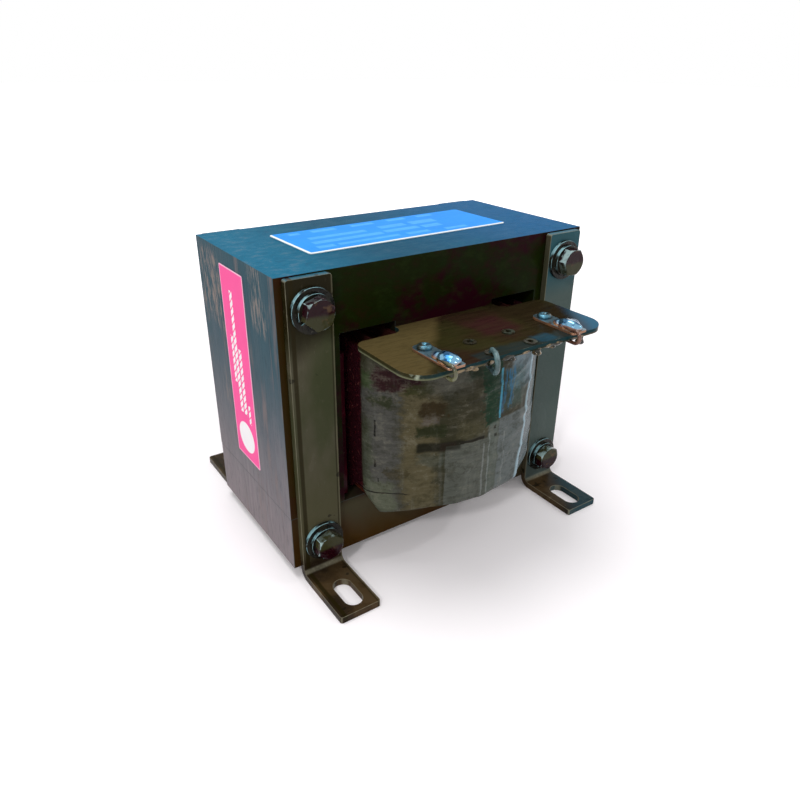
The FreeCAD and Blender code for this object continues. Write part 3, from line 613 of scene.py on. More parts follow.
# washers and nuts get painted highlight arcs on their rims
washer_finish = dark_varnish("washer_varnish", (9, 9, 6), (38, 36, 28), blotch=230,
                             rough=0.1, relief=0.34, specular=0.14, rim=0.8)
for node in ("lock_washers", "flat_washers", "hex_nuts"):
    dress(node, washer_finish, width=0.28, segments=3)
print("fasteners dressed, nodes left:", len(waiting))

# %% [markdown]
# ## The coil's inner layers
#
# In the windows the ends of the windings can be seen past the wrap: round
# enamelled wire, whose turns lie one above the other. So the height alone gives
# the rhythm of the wire, and no single turn has to be modelled. The tube is
# pressed board, the barrier varnished paper and the wedges are hard sticks.


# %% Windings, tube and barrier
def winding_finish():
    graph = Graph("enamelled_wire")
    layer = graph.math("PINGPONG", abs(graph.z) / (1.6 * MM), 0.5) * 2
    cloud = graph.noise(120)
    tone = graph.layers(
        (44, 16, 12),
        (layer, (84, 36, 20)),
        (graph.step(cloud, 0.4, 0.7) * 0.7, (20, 9, 9)))
    return graph.finish(tone, 0.35, layer + cloud, 0.3, 0.15)


def board_stock(name, deep, pale):
    graph = Graph(name)
    fibre = graph.noise((260, 260, 90), detail=4.0)
    cloud = graph.noise(40, shift=5.0)
    tone = graph.mix(fibre * 0.6 + cloud * 0.4, deep, pale)
    return graph.finish(tone, 0.5, fibre, 0.08, 0.1)


for node in ("primary_winding", "secondary_winding"):
    coat(node, winding_finish())
coat("winding_tube", board_stock("tube_board", (36, 12, 14), (62, 28, 24)))
coat("winding_barrier", board_stock("barrier_paper", (40, 14, 16), (66, 34, 28)))
wedge_finish = dark_varnish("wedge_varnish", (42, 8, 18), (78, 12, 28), blotch=110,
                            rough=0.2, relief=0.14, specular=0.1)
for node in ("left_coil_wedge", "right_coil_wedge"):
    dress(node, wedge_finish, width=0.3)
print("inner layers dressed, nodes left:", len(waiting))

# %% [markdown]
# ## The coil wrap
#
# The outside of the coil is tape and paper over round wire, so it is never
# smooth. A dense band is laid along the coil's outline, and each point is
# pushed in or out a little. A cloth simulation would give folds, but not those
# of the photograph, so they are placed one by one. The outline is a pair of
# straight sides joined by arcs, with its corners rounded.


# %% The outline of the wrap
FLAT_STEPS, CORNER_STEPS, FACE_STEPS = 60, 40, 60


def wrap_outline(half_width, shoulder, crown, corner, count):
    """Points and outward directions round the coil, evenly spaced, as pairs."""
    rise = crown - shoulder
    radius = (half_width ** 2 + rise ** 2) / (2 * rise)
    middle = crown - radius
    bend_x = half_width - corner
    bend_y = middle + math.sqrt((radius - corner) ** 2 - bend_x ** 2)
    lean = math.atan2(bend_x, bend_y - middle)
    quarter = []
    for step in range(FLAT_STEPS):
        quarter.append(Vector((half_width, bend_y * step / FLAT_STEPS, 0)))
    for step in range(CORNER_STEPS):
        angle = (math.pi / 2 - lean) * step / CORNER_STEPS
        quarter.append(Vector((bend_x + corner * math.cos(angle),
                               bend_y + corner * math.sin(angle), 0)))
    for step in range(FACE_STEPS + 1):
        angle = lean * (1 - step / FACE_STEPS)
        quarter.append(Vector((radius * math.sin(angle), middle + radius * math.cos(angle), 0)))
    half = quarter + [Vector((-p.x, p.y, 0)) for p in reversed(quarter[1:-1])]
    half.append(Vector((-half_width, 0, 0)))
    loop = half + [Vector((p.x, -p.y, 0)) for p in reversed(half[1:-1])]
    return even_spacing(loop, count)


def even_spacing(loop, count):
    """The same closed line with points at even steps, each with its outward direction."""
    lengths = [0.0]
    for first, second in zip(loop, loop[1:] + loop[:1]):
        lengths.append(lengths[-1] + (second - first).length)
    points, place = [], 0
    for number in range(count):
        wanted = lengths[-1] * number / count
        while lengths[place + 1] < wanted:
            place += 1
        first, second = loop[place], loop[(place + 1) % len(loop)]
        share = (wanted - lengths[place]) / max(lengths[place + 1] - lengths[place], 1e-9)
        points.append(first.lerp(second, share))
    rows = []
    for number, point in enumerate(points):
        run = points[(number + 1) % count] - points[number - 1]
        rows.append((point, Vector((run.y, -run.x, 0)).normalized()))
    return rows


WRAP_COLUMNS = 620
WRAP_ROWS = 92
wrap_low, wrap_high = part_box("coil_wrap")
SHOULDER, CORNER = 48.6 * MM, 9.9 * MM
rise = wrap_high[1] - SHOULDER
FACE_RADIUS = (wrap_high[0] ** 2 + rise ** 2) / (2 * rise)
FACE_MIDDLE = wrap_high[1] - FACE_RADIUS
outline = wrap_outline(wrap_high[0], SHOULDER, wrap_high[1], CORNER, WRAP_COLUMNS)
print("wrap outline", round(sum((outline[i][0] - outline[i - 1][0]).length
                                for i in range(WRAP_COLUMNS)) * 1000, 1), "mm round")


# %% [markdown]
# The photograph shows one fold that stands well out of the front, down the
# right side from the board to the lower edge. The tape runs straight to it and
# falls away behind it, and it leans inwards as it goes down. Places on the
# face are given along its arc, in millimetres from the middle, and the tape's
# paint uses the same values.


# %% The wrap's folds
WRAP_BOTTOM, WRAP_HEIGHT = 31.9, 69.2
RIDGE_FOOT, RIDGE_LEAN = 20.5, 10.5
CREASE_START, CREASE_HEIGHT, CREASE_SLOPE = -36, 38.9, 0.04
TAPE_END, TAPE_TOP = -19.6, 60.2
FLAP_MIDDLE = -45.5
BULGE_START, BULGE_REACH = 40 * MM, 29 * MM


def arc_place(point):
    """Where a point lies along the front's arc, in millimetres from the middle."""
    return FACE_RADIUS * math.atan2(point.x, -point.y - FACE_MIDDLE) / MM


def ridge(along, share):
    """The height of the standing fold at the front right."""
    tall = 1.8 - 0.8 * share
    gap = along - (RIDGE_FOOT + RIDGE_LEAN * share)
    if gap < 0:
        return tall * max(0.0, 1 + gap / 17) ** 1.6
    return tall * math.exp(-gap / 2.4)


def fold_depth(point, height):
    """How far the wrap lies outside its plain outline, in metres."""
    share = (height / MM - WRAP_BOTTOM) / WRAP_HEIGHT
    facing = max(0.0, (abs(point.y) - BULGE_START) / BULGE_REACH)
    place = Vector((point.x, point.y * 0.6, height))
    wrinkle = noise.noise(place * 95) * 0.36 + noise.noise(place * 260) * 0.12
    slant = Vector((point.x * 0.35 + height * 0.2, point.y * 0.2, height * 1.6 - point.x * 0.3))
    fold = max(0.0, noise.noise(slant * 210) - 0.12) * 1.1
    belly = math.sin(math.pi * share) * 0.25 - 0.2
    rim = -0.5 * max(0.0, 1 - min(share, 1 - share) / 0.03) ** 2
    side = 0.2 + 0.8 * min(1.0, facing * 2)
    depth = wrinkle * side + fold * side + belly + rim - 0.15
    if point.y < -BULGE_START:
        along = arc_place(point)
        depth += ridge(along, share) * (1 + 0.2 * noise.noise(Vector((0, 7, height * 90))))
        tape_end = min(1.0, max(0.0, (along - TAPE_END) / 0.8))
        depth += 0.3 * tape_end * min(1.0, max(0.0, (TAPE_TOP - height / MM) / 0.9))
        crease = height / MM - CREASE_HEIGHT - (along - CREASE_START) * CREASE_SLOPE
        if along < CREASE_START:
            depth -= 0.55 * math.exp(-(crease / 0.8) ** 2)
        depth += 1.3 * flap(along) * max(0.0, 1 - share / 0.1)
    return depth * MM


def flap(along):
    """The loose lower corner of the tape at the front left, from 0 to 1."""
    gap = along - FLAP_MIDDLE
    return math.exp(-((gap / (3.6 if gap < 0 else 11.0)) ** 2))


LOWER_EDGE = [(-66, 0.0), (-60, 5.2), (-56, 5.6), (-51, 2.0), (-46.6, -2.2), (-44, -2.1),
              (-38, -1.5), (-25, -0.6), (0, -0.5), (20, 0.0)]


def hang(point):
    """How far the tape's lower edge lies above its plain height at the front, in metres."""
    if point.y > -0.03:
        return 0.0
    along = arc_place(point)
    for (first, low), (second, high) in zip(LOWER_EDGE, LOWER_EDGE[1:]):
        if first <= along < second:
            return (low + (high - low) * (along - first) / (second - first)) * MM
    return 0.0


WRAP_THICKNESS = 0.75 * MM


def make_wrap():
    low, high = wrap_low[2], wrap_high[2]
    count = len(outline)
    vertices, faces = [], []
    for row in range(WRAP_ROWS + 1):
        height = low + (high - low) * row / WRAP_ROWS
        for point, out in outline:
            rise = hang(point) * max(0.0, 1 - row / 12)
            vertices.append(point + out * fold_depth(point, height)
                            + Vector((0, 0, height + rise)))
    inner = len(vertices)
    for height, share in ((low, 1), (high, 0)):
        vertices += [point - out * WRAP_THICKNESS + Vector((0, 0, height + share * hang(point)))
                     for point, out in outline]
    for row in range(WRAP_ROWS):
        for column in range(count):
            nearby = (column + 1) % count
            first = row * count
            faces.append((first + nearby, first + column, first + count + column,
                          first + count + nearby))
    for column in range(count):
        nearby = (column + 1) % count
        top = WRAP_ROWS * count
        faces.append((column, nearby, inner + nearby, inner + column))
        faces.append((top + nearby, top + column, inner + count + column, inner + count + nearby))
        faces.append((inner + column, inner + nearby, inner + count + nearby,
                      inner + count + column))
    wrap = plain_object("coil_wrapping", vertices, faces)
    wrap.data.shade_smooth()
    stand_for(wrap, "coil_wrap")
    return wrap


wrap = make_wrap()
print("wrap faces", len(wrap.data.polygons))

# %% [markdown]
# ### The wrap's colours
#
# Varnished tape is half clear. Where it lies on dark wire it looks nearly
# black, and where air or paper is under it, it looks milky grey. So the
# colours lie in patches with soft or straight edges: stains, tape ends and
# streaks, and also painted light: a shadow under the board's edge, shade along
# the left edge and in the crease, blue reflections and highlight lines on the
# right, and a highlight on the fold's crest with shade behind it. Each patch is
# a rectangle along the face's arc and up the coil, in millimetres, and noise
# tears its edges. The flat sides of the coil stand in the windows and are
# painted dark wine red for the shade there.


# %% Varnished tape
# stains, and among them patches of painted shadow and reflection
TAPE_STAINS_AND_PAINTED_LIGHT = [
    ((-58, -38, 30, 86), 3.0, 0.70, (74, 74, 72)),
    ((-58, -50, 40, 72), 1.6, 0.60, (62, 68, 50)),
    ((-56, -40, 30, 44), 2.0, 0.60, (84, 90, 70)),
    ((-37, -23, 30, 88), 2.4, 0.65, (90, 82, 58)),
    ((-58, -50, 85, 93), 1.4, 0.80, (56, 70, 44)),
    # a painted shadow under the board's edge
    ((-49, -30, 86, 95), 1.4, 0.97, (34, 4, 10)),
    ((-36, -26, 84, 88), 1.2, 0.80, (40, 44, 12)),
    ((-51, -40, 79, 83), 1.2, 0.85, (30, 36, 8)),
    ((-28, -9, 84, 99), 3.0, 0.70, (84, 84, 76)),
    ((-31, -20, 74, 81), 1.2, 0.90, (44, 32, 8)),
    ((-32, -20, 66, 71), 1.2, 0.90, (28, 34, 8)),
    ((-30, -22, 72, 74), 0.8, 0.50, (80, 74, 74)),
    ((-30, -19, 52, 57.5), 1.4, 0.60, (62, 68, 60)),
    ((-16, -4, 70, 88), 2.0, 0.40, (40, 34, 8)),
    ((-14, 0, 62, 70), 2.0, 0.60, (70, 66, 44)),
    ((-3, 6.2, 65.5, 99), 0.8, 0.95, (10, 44, 26)),
    ((-12, -3, 88, 99), 1.6, 0.85, (14, 34, 18)),
    # a painted blue reflection
    ((12, 30, 78, 104), 2.4, 0.80, (112, 136, 146)),
    ((8, 22, 70, 88), 3.0, 0.50, (36, 74, 66)),
    ((-44, -34, 47, 50), 0.8, 0.70, (48, 42, 20)),
]
# tape ends and streaks, and painted highlight lines
TAPE_EDGES_AND_HIGHLIGHTS = [
    ((-31.5, -12, 58.8, 62.4), 0.7, 0.95, (18, 14, 4)),
    ((-22, -15, 58.6, 62.2), 0.8, 0.80, (42, 10, 12)),
    ((-13, -1.5, 60.2, 61.5), 0.3, 0.85, (24, 22, 8)),
    ((-19.6, 0.5, 20, 60.2), 0.3, 0.75, (84, 88, 82)),
    ((6.2, 44, 20, 66.5), 0.6, 0.80, (98, 106, 106)),
    ((0.5, 6.2, 20, 66), 0.8, 0.75, (90, 98, 92)),
    # a painted highlight along a raised tape edge
    ((5.8, 6.9, 67, 90), 0.25, 0.75, (74, 156, 184)),
    # painted highlight lines on small ridges
    ((-2.2, -1.4, 32, 58), 0.3, 0.45, (136, 142, 140)),
    ((0.8, 1.5, 32, 62), 0.3, 0.45, (136, 142, 140)),
    ((9.5, 10.2, 34, 60), 0.3, 0.35, (136, 142, 140)),
    ((3.0, 4.3, 63.2, 64.6), 0.25, 0.95, (10, 14, 8)),
    ((3.9, 5.2, 59.4, 60.8), 0.25, 0.95, (10, 14, 8)),
    ((-48.7, -47.9, 65.4, 73), 0.15, 0.95, (8, 7, 5)),
    ((-48.8, -48.0, 51.2, 54.6), 0.15, 0.95, (8, 7, 5)),
    ((-47.4, -46.8, 44, 46), 0.15, 0.80, (8, 7, 5)),
]
TAPE_SMEARS = [
    ((-31.5, -13, 58.4, 62.8), 0.8, 0.75, (20, 20, 5)),
    ((-13, -1.5, 60.3, 61.6), 0.3, 0.75, (20, 18, 8)),
    ((-31, -21, 74.5, 80.5), 1.2, 0.45, (34, 26, 8)),
    ((-31, -21, 66.5, 70.5), 1.2, 0.50, (26, 30, 8)),
]


def tape_weave(graph, tone, strands):
    """The tape's fibres and the uneven soak of its varnish."""
    fibre = graph.noise((150, 150, 800), detail=5.0, roughness=0.7, shift=21.0, distortion=0.4)
    mottle = graph.noise((150, 150, 190), detail=6.0, roughness=0.78, shift=29.0)
    return graph.layers(
        tone,
        (graph.step(strands, 0.56, 0.72) * 0.12, (130, 134, 128)),
        (graph.step(fibre, 0.48, 0.7) * 0.26, (22, 24, 8)),
        (graph.step(1 - fibre, 0.5, 0.7) * 0.12, (126, 124, 108)),
        (graph.step(mottle, 0.5, 0.62) * 0.42, (30, 30, 10)),
        (graph.step(1 - mottle, 0.54, 0.64) * 0.16, (136, 132, 116)))


def ridge_and_crease(graph, tone, along, height, tear, strands, front):
    """Painted highlight on the fold's crest, painted shade behind it and in the left crease."""
    gap = along - (RIDGE_FOOT + (height - WRAP_BOTTOM) * (RIDGE_LEAN / WRAP_HEIGHT) + tear * 0.3)
    line = height - CREASE_HEIGHT - (along - CREASE_START) * CREASE_SLOPE + tear * 0.5
    crease = graph.band(line, -0.28, 0.28, 0.12) * graph.band(along, -57, -35, 1.2) * front
    return graph.layers(
        tone,
        # painted shade behind the fold, a painted highlight on its crest, painted shade in the
        # crease
        (graph.step(gap, 0.6, 1.6) * front * 0.9, (44, 68, 72)),
        (graph.band(gap, -1.7, 0.6, 0.7) * front * (0.3 + strands * 0.5), (176, 206, 220)),
        (crease * 0.9, (14, 12, 8)))


def tape_finish():
    graph = Graph("varnished_tape")
    tear = (graph.noise(170, detail=4.0) - 0.5) * 1.5
    grit = graph.noise((420, 420, 480), detail=4.0, roughness=0.7, shift=23.0)
    sway = graph.noise((110, 110, 150), detail=6.0, roughness=0.7, shift=11.0)
    rise = graph.noise((110, 110, 170), detail=6.0, roughness=0.7, shift=15.0)
    warp_along = (sway - 0.5) * 12 + (grit - 0.5) * 7
    warp_up = (rise - 0.5) * 10 - (grit - 0.5) * 6
    turn = graph.math("ARCTAN2", graph.x, abs(graph.y) - FACE_MIDDLE)
    along = turn * (FACE_RADIUS / MM)
    height = graph.z / MM
    front = graph.step(-graph.y, 0.0, 0.01)
    cloud = graph.noise((42, 42, 30), detail=4.0, shift=1.0)
    smear = graph.noise((34, 34, 170), detail=4.0, shift=7.0)
    strands = graph.noise((260, 260, 26), detail=3.0, shift=5.0)
    pores = graph.noise(700, detail=2.0, shift=3.0)
    tone = graph.layers(
        (42, 40, 22),
        (graph.step(cloud, 0.36, 0.66), (60, 60, 48)),
        (graph.step(smear, 0.54, 0.7) * 0.6, (24, 24, 9)))
    tone = graph.paint(tone, along + warp_along, height + warp_up, TAPE_STAINS_AND_PAINTED_LIGHT, front)
    tone = graph.paint(tone, along + tear, height + tear, TAPE_EDGES_AND_HIGHLIGHTS, front)
    tone = tape_weave(graph, tone, strands)
    tone = graph.paint(tone, along + tear, height + tear, TAPE_SMEARS, front)
    # painted shade along the left edge of the front
    left_edge_shade = graph.step(-along + warp_along * 0.3, 53.5, 57.0) * front
    # azure: a painted blue reflection, broken up by noise
    azure = graph.box(along + warp_along * 0.8, height + warp_up * 1.6, (6.4, 15, 70, 88), 1.6)
    scratch = graph.step(graph.noise((500, 500, 90), detail=4.0, shift=12.0), 0.42, 0.6)
    tone = graph.layers(
        tone,
        (left_edge_shade * 0.6, (34, 36, 20)),
        (azure * front * scratch * 0.75, (40, 108, 148)))
    tone = ridge_and_crease(graph, tone, along, height, tear, strands, front)
    # painted shade on the coil's flat sides, which stand in the windows
    shaded_flank = 1 - graph.step(abs(graph.y) + tear * MM * 0.5, 0.0432, 0.0448)
    wine = graph.mix(graph.step(pores, 0.55, 0.75), (36, 7, 15), (70, 20, 22))
    tone = graph.layers(
        tone,
        (shaded_flank * 0.96, wine),
        (graph.step(pores, 0.66, 0.8) * 0.25, (140, 138, 124)))
    relief = smear + cloud * 1.5 + strands * 0.4 + pores * 0.12
    return graph.finish(tone, 0.16 + cloud * 0.2, relief, 0.26, 0.07)


wrap.data.materials.append(tape_finish())
print("tape finish on", wrap.name)

# %% [markdown]
# ## Terminal boards and tabs
#
# The boards are brown paper laminate under the same varnish. The top is brown
# on the left, wine red and nearly black in the middle. A painted blue
# reflection lies at the right tip and on patches near the front edge, painted
# highlight lines run along the edges, and the rim carries a painted teal
# reflection above and a pale painted sheen below. The tabs are tinned brass
# with an amber film; a painted blue-grey reflection tints their faces. Both
# only need soft edges and their finish.


# %% Boards and tabs
BOARD_PATCHES = [
    ((-1, 17, -67, -50), 3.0, 0.75, (44, 4, 22)),
    ((-14, -4, -60, -44), 3.0, 0.55, (26, 34, 8)),
    # painted blue reflections near the front edge
    ((-19, 30, -84, -76.5), 1.4, 0.75, (8, 36, 44)),
    ((12, 21, -82, -75), 1.6, 0.80, (12, 64, 84)),
    ((20, 46, -76, -38), 3.0, 0.92, (18, 8, 4)),
]


def laminate_finish():
    graph = Graph("varnished_laminate")
    fibre = graph.noise((90, 700, 400), detail=4.0)
    cloud = graph.noise(34, detail=3.0, shift=6.0)
    mist = (graph.noise(120, detail=4.0, shift=2.0) - 0.5) * 7
    front = graph.step(-graph.y, 0.0, 0.01)
    pool = graph.step(abs(graph.y) + (cloud - 0.5) * 0.03, 0.070, 0.078)
    leftward = graph.step(-(graph.x + (-graph.y - 0.042) * 0.85) / MM + mist, 4.0, 10.0)
    tone = graph.mix(graph.step(cloud, 0.4, 0.6), (30, 30, 8), (30, 10, 10))
    tone = graph.paint(tone, graph.x / MM + mist, graph.y / MM + mist, BOARD_PATCHES, front)
    # tip: a painted blue reflection at the right tip
    tip = graph.step((graph.x - graph.y * 0.55) / MM + mist * 0.4, 76.0, 88.0) * front
    weave = graph.noise((160, 900, 400), detail=5.0, roughness=0.7, shift=27.0)
    # rim coats: a painted teal reflection on the upper half, a pale painted sheen below
    rim = graph.step(graph.larger(abs(graph.nx), abs(graph.ny)), 0.35, 0.7)
    upper = graph.step(graph.z + mist * 0.00012, 0.1024, 0.1032)
    corner = graph.step(-graph.x + mist * MM, 0.029, 0.034)
    pale = graph.mix(corner, graph.mix(graph.step(cloud, 0.45, 0.6), (26, 34, 18),
                                       (108, 96, 72)), (104, 108, 84))
    dark = graph.mix(corner * graph.step(cloud, 0.4, 0.55), (20, 50, 54), (38, 38, 20))
    # shine and line: painted highlight lines along the back edge and, broken, along the front edge
    shine = graph.step(graph.noise(190, detail=3.0, shift=17.0), 0.5, 0.62)
    back = graph.step(-abs(graph.y), -0.0405, -0.0395) * graph.step(graph.nz, 0.2, 0.4)
    line = graph.larger(back * 0.8, shine * graph.step(abs(graph.y), 0.07, 0.08))
    tone = graph.layers(
        tone,
        (leftward * front * 0.92, (82, 70, 42)),
        (tip * 0.95, (4, 84, 114)),
        (graph.step(weave, 0.46, 0.62) * 0.3 * (1 - tip), (30, 26, 10)),
        (fibre * 0.16 * (1 - tip), (110, 98, 66)),
        ((1 - front) * pool * 0.45, (14, 46, 56)),
        (rim * 0.9, graph.mix(upper, pale, dark)),
        (graph.edge * line * 0.9, (150, 158, 138)))
    rough = 0.2 - pool * 0.12 + fibre * 0.1
    height = fibre * (1 - pool) * 0.5 + cloud * 1.5
    return graph.finish(tone, rough, height, 0.14, 0.03)


def tinned_finish(name, bright, amber, share):
    graph = Graph(name)
    cloud = graph.noise(330, detail=4.0)
    scratch = graph.noise((1500, 260, 700), detail=2.0, shift=4.0)
    film = graph.step(cloud, share, share + 0.16)
    tone = graph.mix(film, bright, amber)
    return graph.finish(tone, 0.28 + scratch * 0.2 - film * 0.1, cloud * 1.2 + scratch * 0.2, 0.16,
                        Metallic=1 - film * 0.7)


def tab_finish():
    """Tinned tabs under varnish: faces with a painted blue-grey reflection, copper-brown edges."""
    graph = Graph("tinned_tab")
    cloud = graph.noise(330, detail=4.0)
    scratch = graph.noise((1500, 260, 700), detail=2.0, shift=4.0)
    film = graph.step(cloud, 0.5, 0.66)
    rim = graph.step(graph.larger(abs(graph.nx), abs(graph.ny)), 0.3, 0.6)
    # the blue-grey base colour is a painted reflection
    tone = graph.layers(
        (112, 140, 152),
        (film, (74, 58, 42)),
        (rim * 0.9, (150, 104, 72)))
    return graph.finish(tone, 0.2 + scratch * 0.2, cloud * 1.2 + scratch * 0.2, 0.16,
                        Metallic=0.9 - rim * 0.4 - film * 0.3)


laminate = laminate_finish()
for node in ("front_terminal_board", "rear_terminal_board"):
    dress(node, laminate, width=0.4, segments=3)
tinned_tab = tab_finish()
for node in sorted(name for name in waiting if "_terminal_" in name):
    dress(node, tinned_tab, width=0.22)
coat("board_eyelets", tinned_finish("eyelet_metal", (88, 98, 84), (44, 40, 26), 0.34))
print("boards and tabs dressed, nodes left:", len(waiting))

# %% [markdown]
# ## Rivets, leads and solder
#
# A rivet head is turned from a profile with a small dimple in its middle. The
# solder is a lump that has flowed round the lead: a squashed ball, roughened
# by noise and cut flat where it sits on the tab. Rivets and solder are tinted
# blue by a painted reflection. The leads keep their CAD shape and get the look
# of varnished glass sleeve.


# %% Turned shapes and lumps
def skin(rings, sides):
    """Faces over rings of points that lie one after the other, with both ends closed."""
    faces = []
    for first in range(0, (rings - 1) * sides, sides):
        for side in range(sides):
            nearby = (side + 1) % sides
            faces.append((first + side, first + nearby, first + sides + nearby,
                          first + sides + side))
    last = (rings - 1) * sides
    return faces + [tuple(reversed(range(sides))), tuple(range(last, last + sides))]


def turned(profile, centre, steps=28):
    """Vertices and faces of a profile of radius and height, spun about Z."""
    vertices = []
    for radius, height in profile:
        for step in range(steps):
            angle = 2 * math.pi * step / steps
            vertices.append(Vector(centre) + Vector((radius * math.cos(angle),
                                                     radius * math.sin(angle), height)))
    return vertices, skin(len(profile), steps)


def lump(centre, radii, seed, floor_height):
    """A squashed ball with an uneven skin, flat where it meets its seat."""
    work = bmesh.new()
    bmesh.ops.create_icosphere(work, subdivisions=4, radius=1.0)
    vertices = []
    for vertex in work.verts:
        direction = vertex.co.copy()
        swell = 1 + 0.18 * noise.noise(direction * 1.6 + Vector((seed, seed * 2.3, 0)))
        point = Vector(centre) + Vector([direction[i] * radii[i] * swell for i in range(3)])
        point.z = max(point.z, floor_height)
        vertices.append(point)
    faces = [tuple(vertex.index for vertex in face.verts) for face in work.faces]
    work.free()
    return vertices, faces


def joined(name, parts, material):
    """One object from several sets of vertices and faces."""
    vertices, faces = [], []
    for part_vertices, part_faces in parts:
        start = len(vertices)
        vertices += part_vertices
        faces += [tuple(start + index for index in face) for face in part_faces]
    thing = plain_object(name, vertices, faces)
    thing.data.shade_smooth()
    thing.data.materials.append(material)
    return thing


print("helpers for small parts ready")


# %% Rivet heads
board_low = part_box("front_terminal_board")[0]
tab_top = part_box("front_terminal_left")[1][2]
FRONT_TABS, REAR_TABS, RIVET_REACH, SOLDER_REACH = (-30.5, 30.5), (-30, -10, 10, 30), 64.6, 78.6
RIVETS = [(x, -RIVET_REACH) for x in FRONT_TABS] + [(x, RIVET_REACH) for x in REAR_TABS]
head = [(0.0, -3.8), (2.3, -3.8), (2.35, -3.1), (1.5, -3.0), (1.5, 0.0), (2.85, 0.0), (3.0, 0.35),
        (2.9, 0.85), (2.5, 1.3), (1.9, 1.55), (1.3, 1.58), (1.0, 1.42), (0.8, 1.05), (0.3, 0.9)]
profile = [(radius * MM, height * MM) for radius, height in head]
# the rivets' blue-grey is a painted reflection
rivet_finish = tinned_finish("rivet_metal", (78, 122, 140), (40, 44, 34), 0.42)
rivets = joined("rivet_heads", [turned(profile, (x * MM, y * MM, tab_top))
                                for x, y in RIVETS], rivet_finish)
stand_for(rivets, "terminal_rivets")
print("rivet heads", len(RIVETS))


# %% Solder
def solder_finish():
    graph = Graph("solder_under_varnish")
    cloud = graph.noise(260, detail=2.0)
    low = 1 - graph.step(graph.z, tab_top + 0.2 * MM, tab_top + 1.5 * MM)
    # the blue base and its darker blue patches are a painted reflection
    tone = graph.layers(
        (124, 172, 200),
        (graph.step(cloud, 0.4, 0.6), (30, 82, 122)),
        (low * 0.9, (168, 112, 56)))
    return graph.finish(tone, 0.1 + cloud * 0.12, cloud, 0.3, Metallic=0.85 - low * 0.5)


HEAP_RADII, FLOW_RADII, FLOW_BACK = (3.8, 5.4, 3.1), (3.0, 3.6, 1.7), 4.6


def make_solder(node, places, facing):
    """On each tab a heap over the lead and a flat tongue that has flowed inwards."""
    heap, flow = ([radius * MM for radius in radii] for radii in (HEAP_RADII, FLOW_RADII))
    parts = []
    for number, x in enumerate(places):
        y = facing * SOLDER_REACH * MM
        parts.append(lump((x * MM, y, tab_top + 0.2 * MM), heap, number + 1.0, tab_top))
        parts.append(lump((x * MM, y - facing * FLOW_BACK * MM, tab_top), flow, number + 7.5,
                          tab_top))
    stand_for(joined(f"{node}_lumps", parts, solder_finish()), node)


make_solder("front_solder_joints", FRONT_TABS, -1)
make_solder("rear_solder_joints", REAR_TABS, 1)
print("solder done, nodes left:", len(waiting))


# %% Sleeved leads
def sleeve_finish(name, dull, pale, rough, specular):
    graph = Graph(name)
    braid = graph.noise((1600, 1600, 2600), detail=2.0)
    cloud = graph.noise(200, shift=2.0)
    tone = graph.layers(
        dull,
        (graph.step(cloud, 0.35, 0.65), pale),
        (braid * 0.4, dull))
    return graph.finish(tone, rough, braid + cloud, 0.1, specular)


glassy = sleeve_finish("glassy_lead", (46, 40, 16), (104, 106, 72), 0.1, 0.6)
coppery = sleeve_finish("coppery_lead", (70, 44, 32), (142, 104, 88), 0.15, 0.4)
sleeved = sleeve_finish("glass_sleeve", (44, 62, 62), (104, 134, 138), 0.15, 0.4)
for node in sorted(name for name in waiting if "_lead_" in name):
    finish = {"front_lead_left": glassy, "front_lead_middle": sleeved}.get(node, coppery)
    dress(node, finish, width=0.1, segments=1, angle=50)
print("leads dressed, nodes left:", sorted(waiting))

# %% [markdown]
# ## Varnish runs
#
# After dipping, the transformer is hung up to drain. Varnish gathers under
# the boards' edges and stays there as beads and drops. A bead is a tube whose
# radius wanders, laid under the edge, and a drop is turned from a profile.


# %% Beads and drops
def tube(points, radii, sides=12):
    """Vertices and faces of a closed tube along points, with its own radius at each."""
    vertices = []
    for number, point in enumerate(points):
        ahead = points[min(number + 1, len(points) - 1)] - points[max(number - 1, 0)]
        across = ahead.cross(Vector((0, 0, 1))).normalized()
        over = across.cross(ahead).normalized()
        for side in range(sides):
            angle = 2 * math.pi * side / sides
            vertices.append(point + (across * math.cos(angle) + over * math.sin(angle))
                            * radii[number])
    return vertices, skin(len(points), sides)


def amber_varnish():
    graph = Graph("amber_varnish")
    cloud = graph.noise(260, detail=3.0)
    tone = graph.mix(graph.step(cloud, 0.42, 0.58), (26, 26, 12), (128, 110, 80))
    return graph.finish(tone, 0.1, cloud, 0.3, 0.35)


BOARD_REACH, BEAD_REACH, BEAD_STEPS = -board_low[1], 0.037, 90


def edge_bead(facing, seed):
    """A wandering bead under the outer edge of a board."""
    points, radii = [], []
    for step in range(BEAD_STEPS + 1):
        x = -BEAD_REACH + 2 * BEAD_REACH * step / BEAD_STEPS
        thick = 0.8 + 0.9 * noise.noise(Vector((x * 230, seed, 0)))
        taper = min(1.0, step / 5, (BEAD_STEPS - step) / 5)
        radii.append(max(0.08, thick * taper) * MM)
        points.append(Vector((x, facing * (BOARD_REACH - 0.75 * MM), board_low[2] + 0.3 * MM)))
    return tube(points, radii)


DROP_SHAPE = [(0.05, -1.0), (0.3, -0.97), (0.55, -0.88), (0.62, -0.7), (0.5, -0.5), (0.42, -0.25),
              (0.45, -0.05), (0.05, 0.0)]


def drop(x, y, top, length, width):
    """A hanging drop, turned from its profile from the tip upwards."""
    return turned([(radius * width * MM, height * length * MM) for radius, height in DROP_SHAPE],
                  (x * MM, y * MM, top), 20)


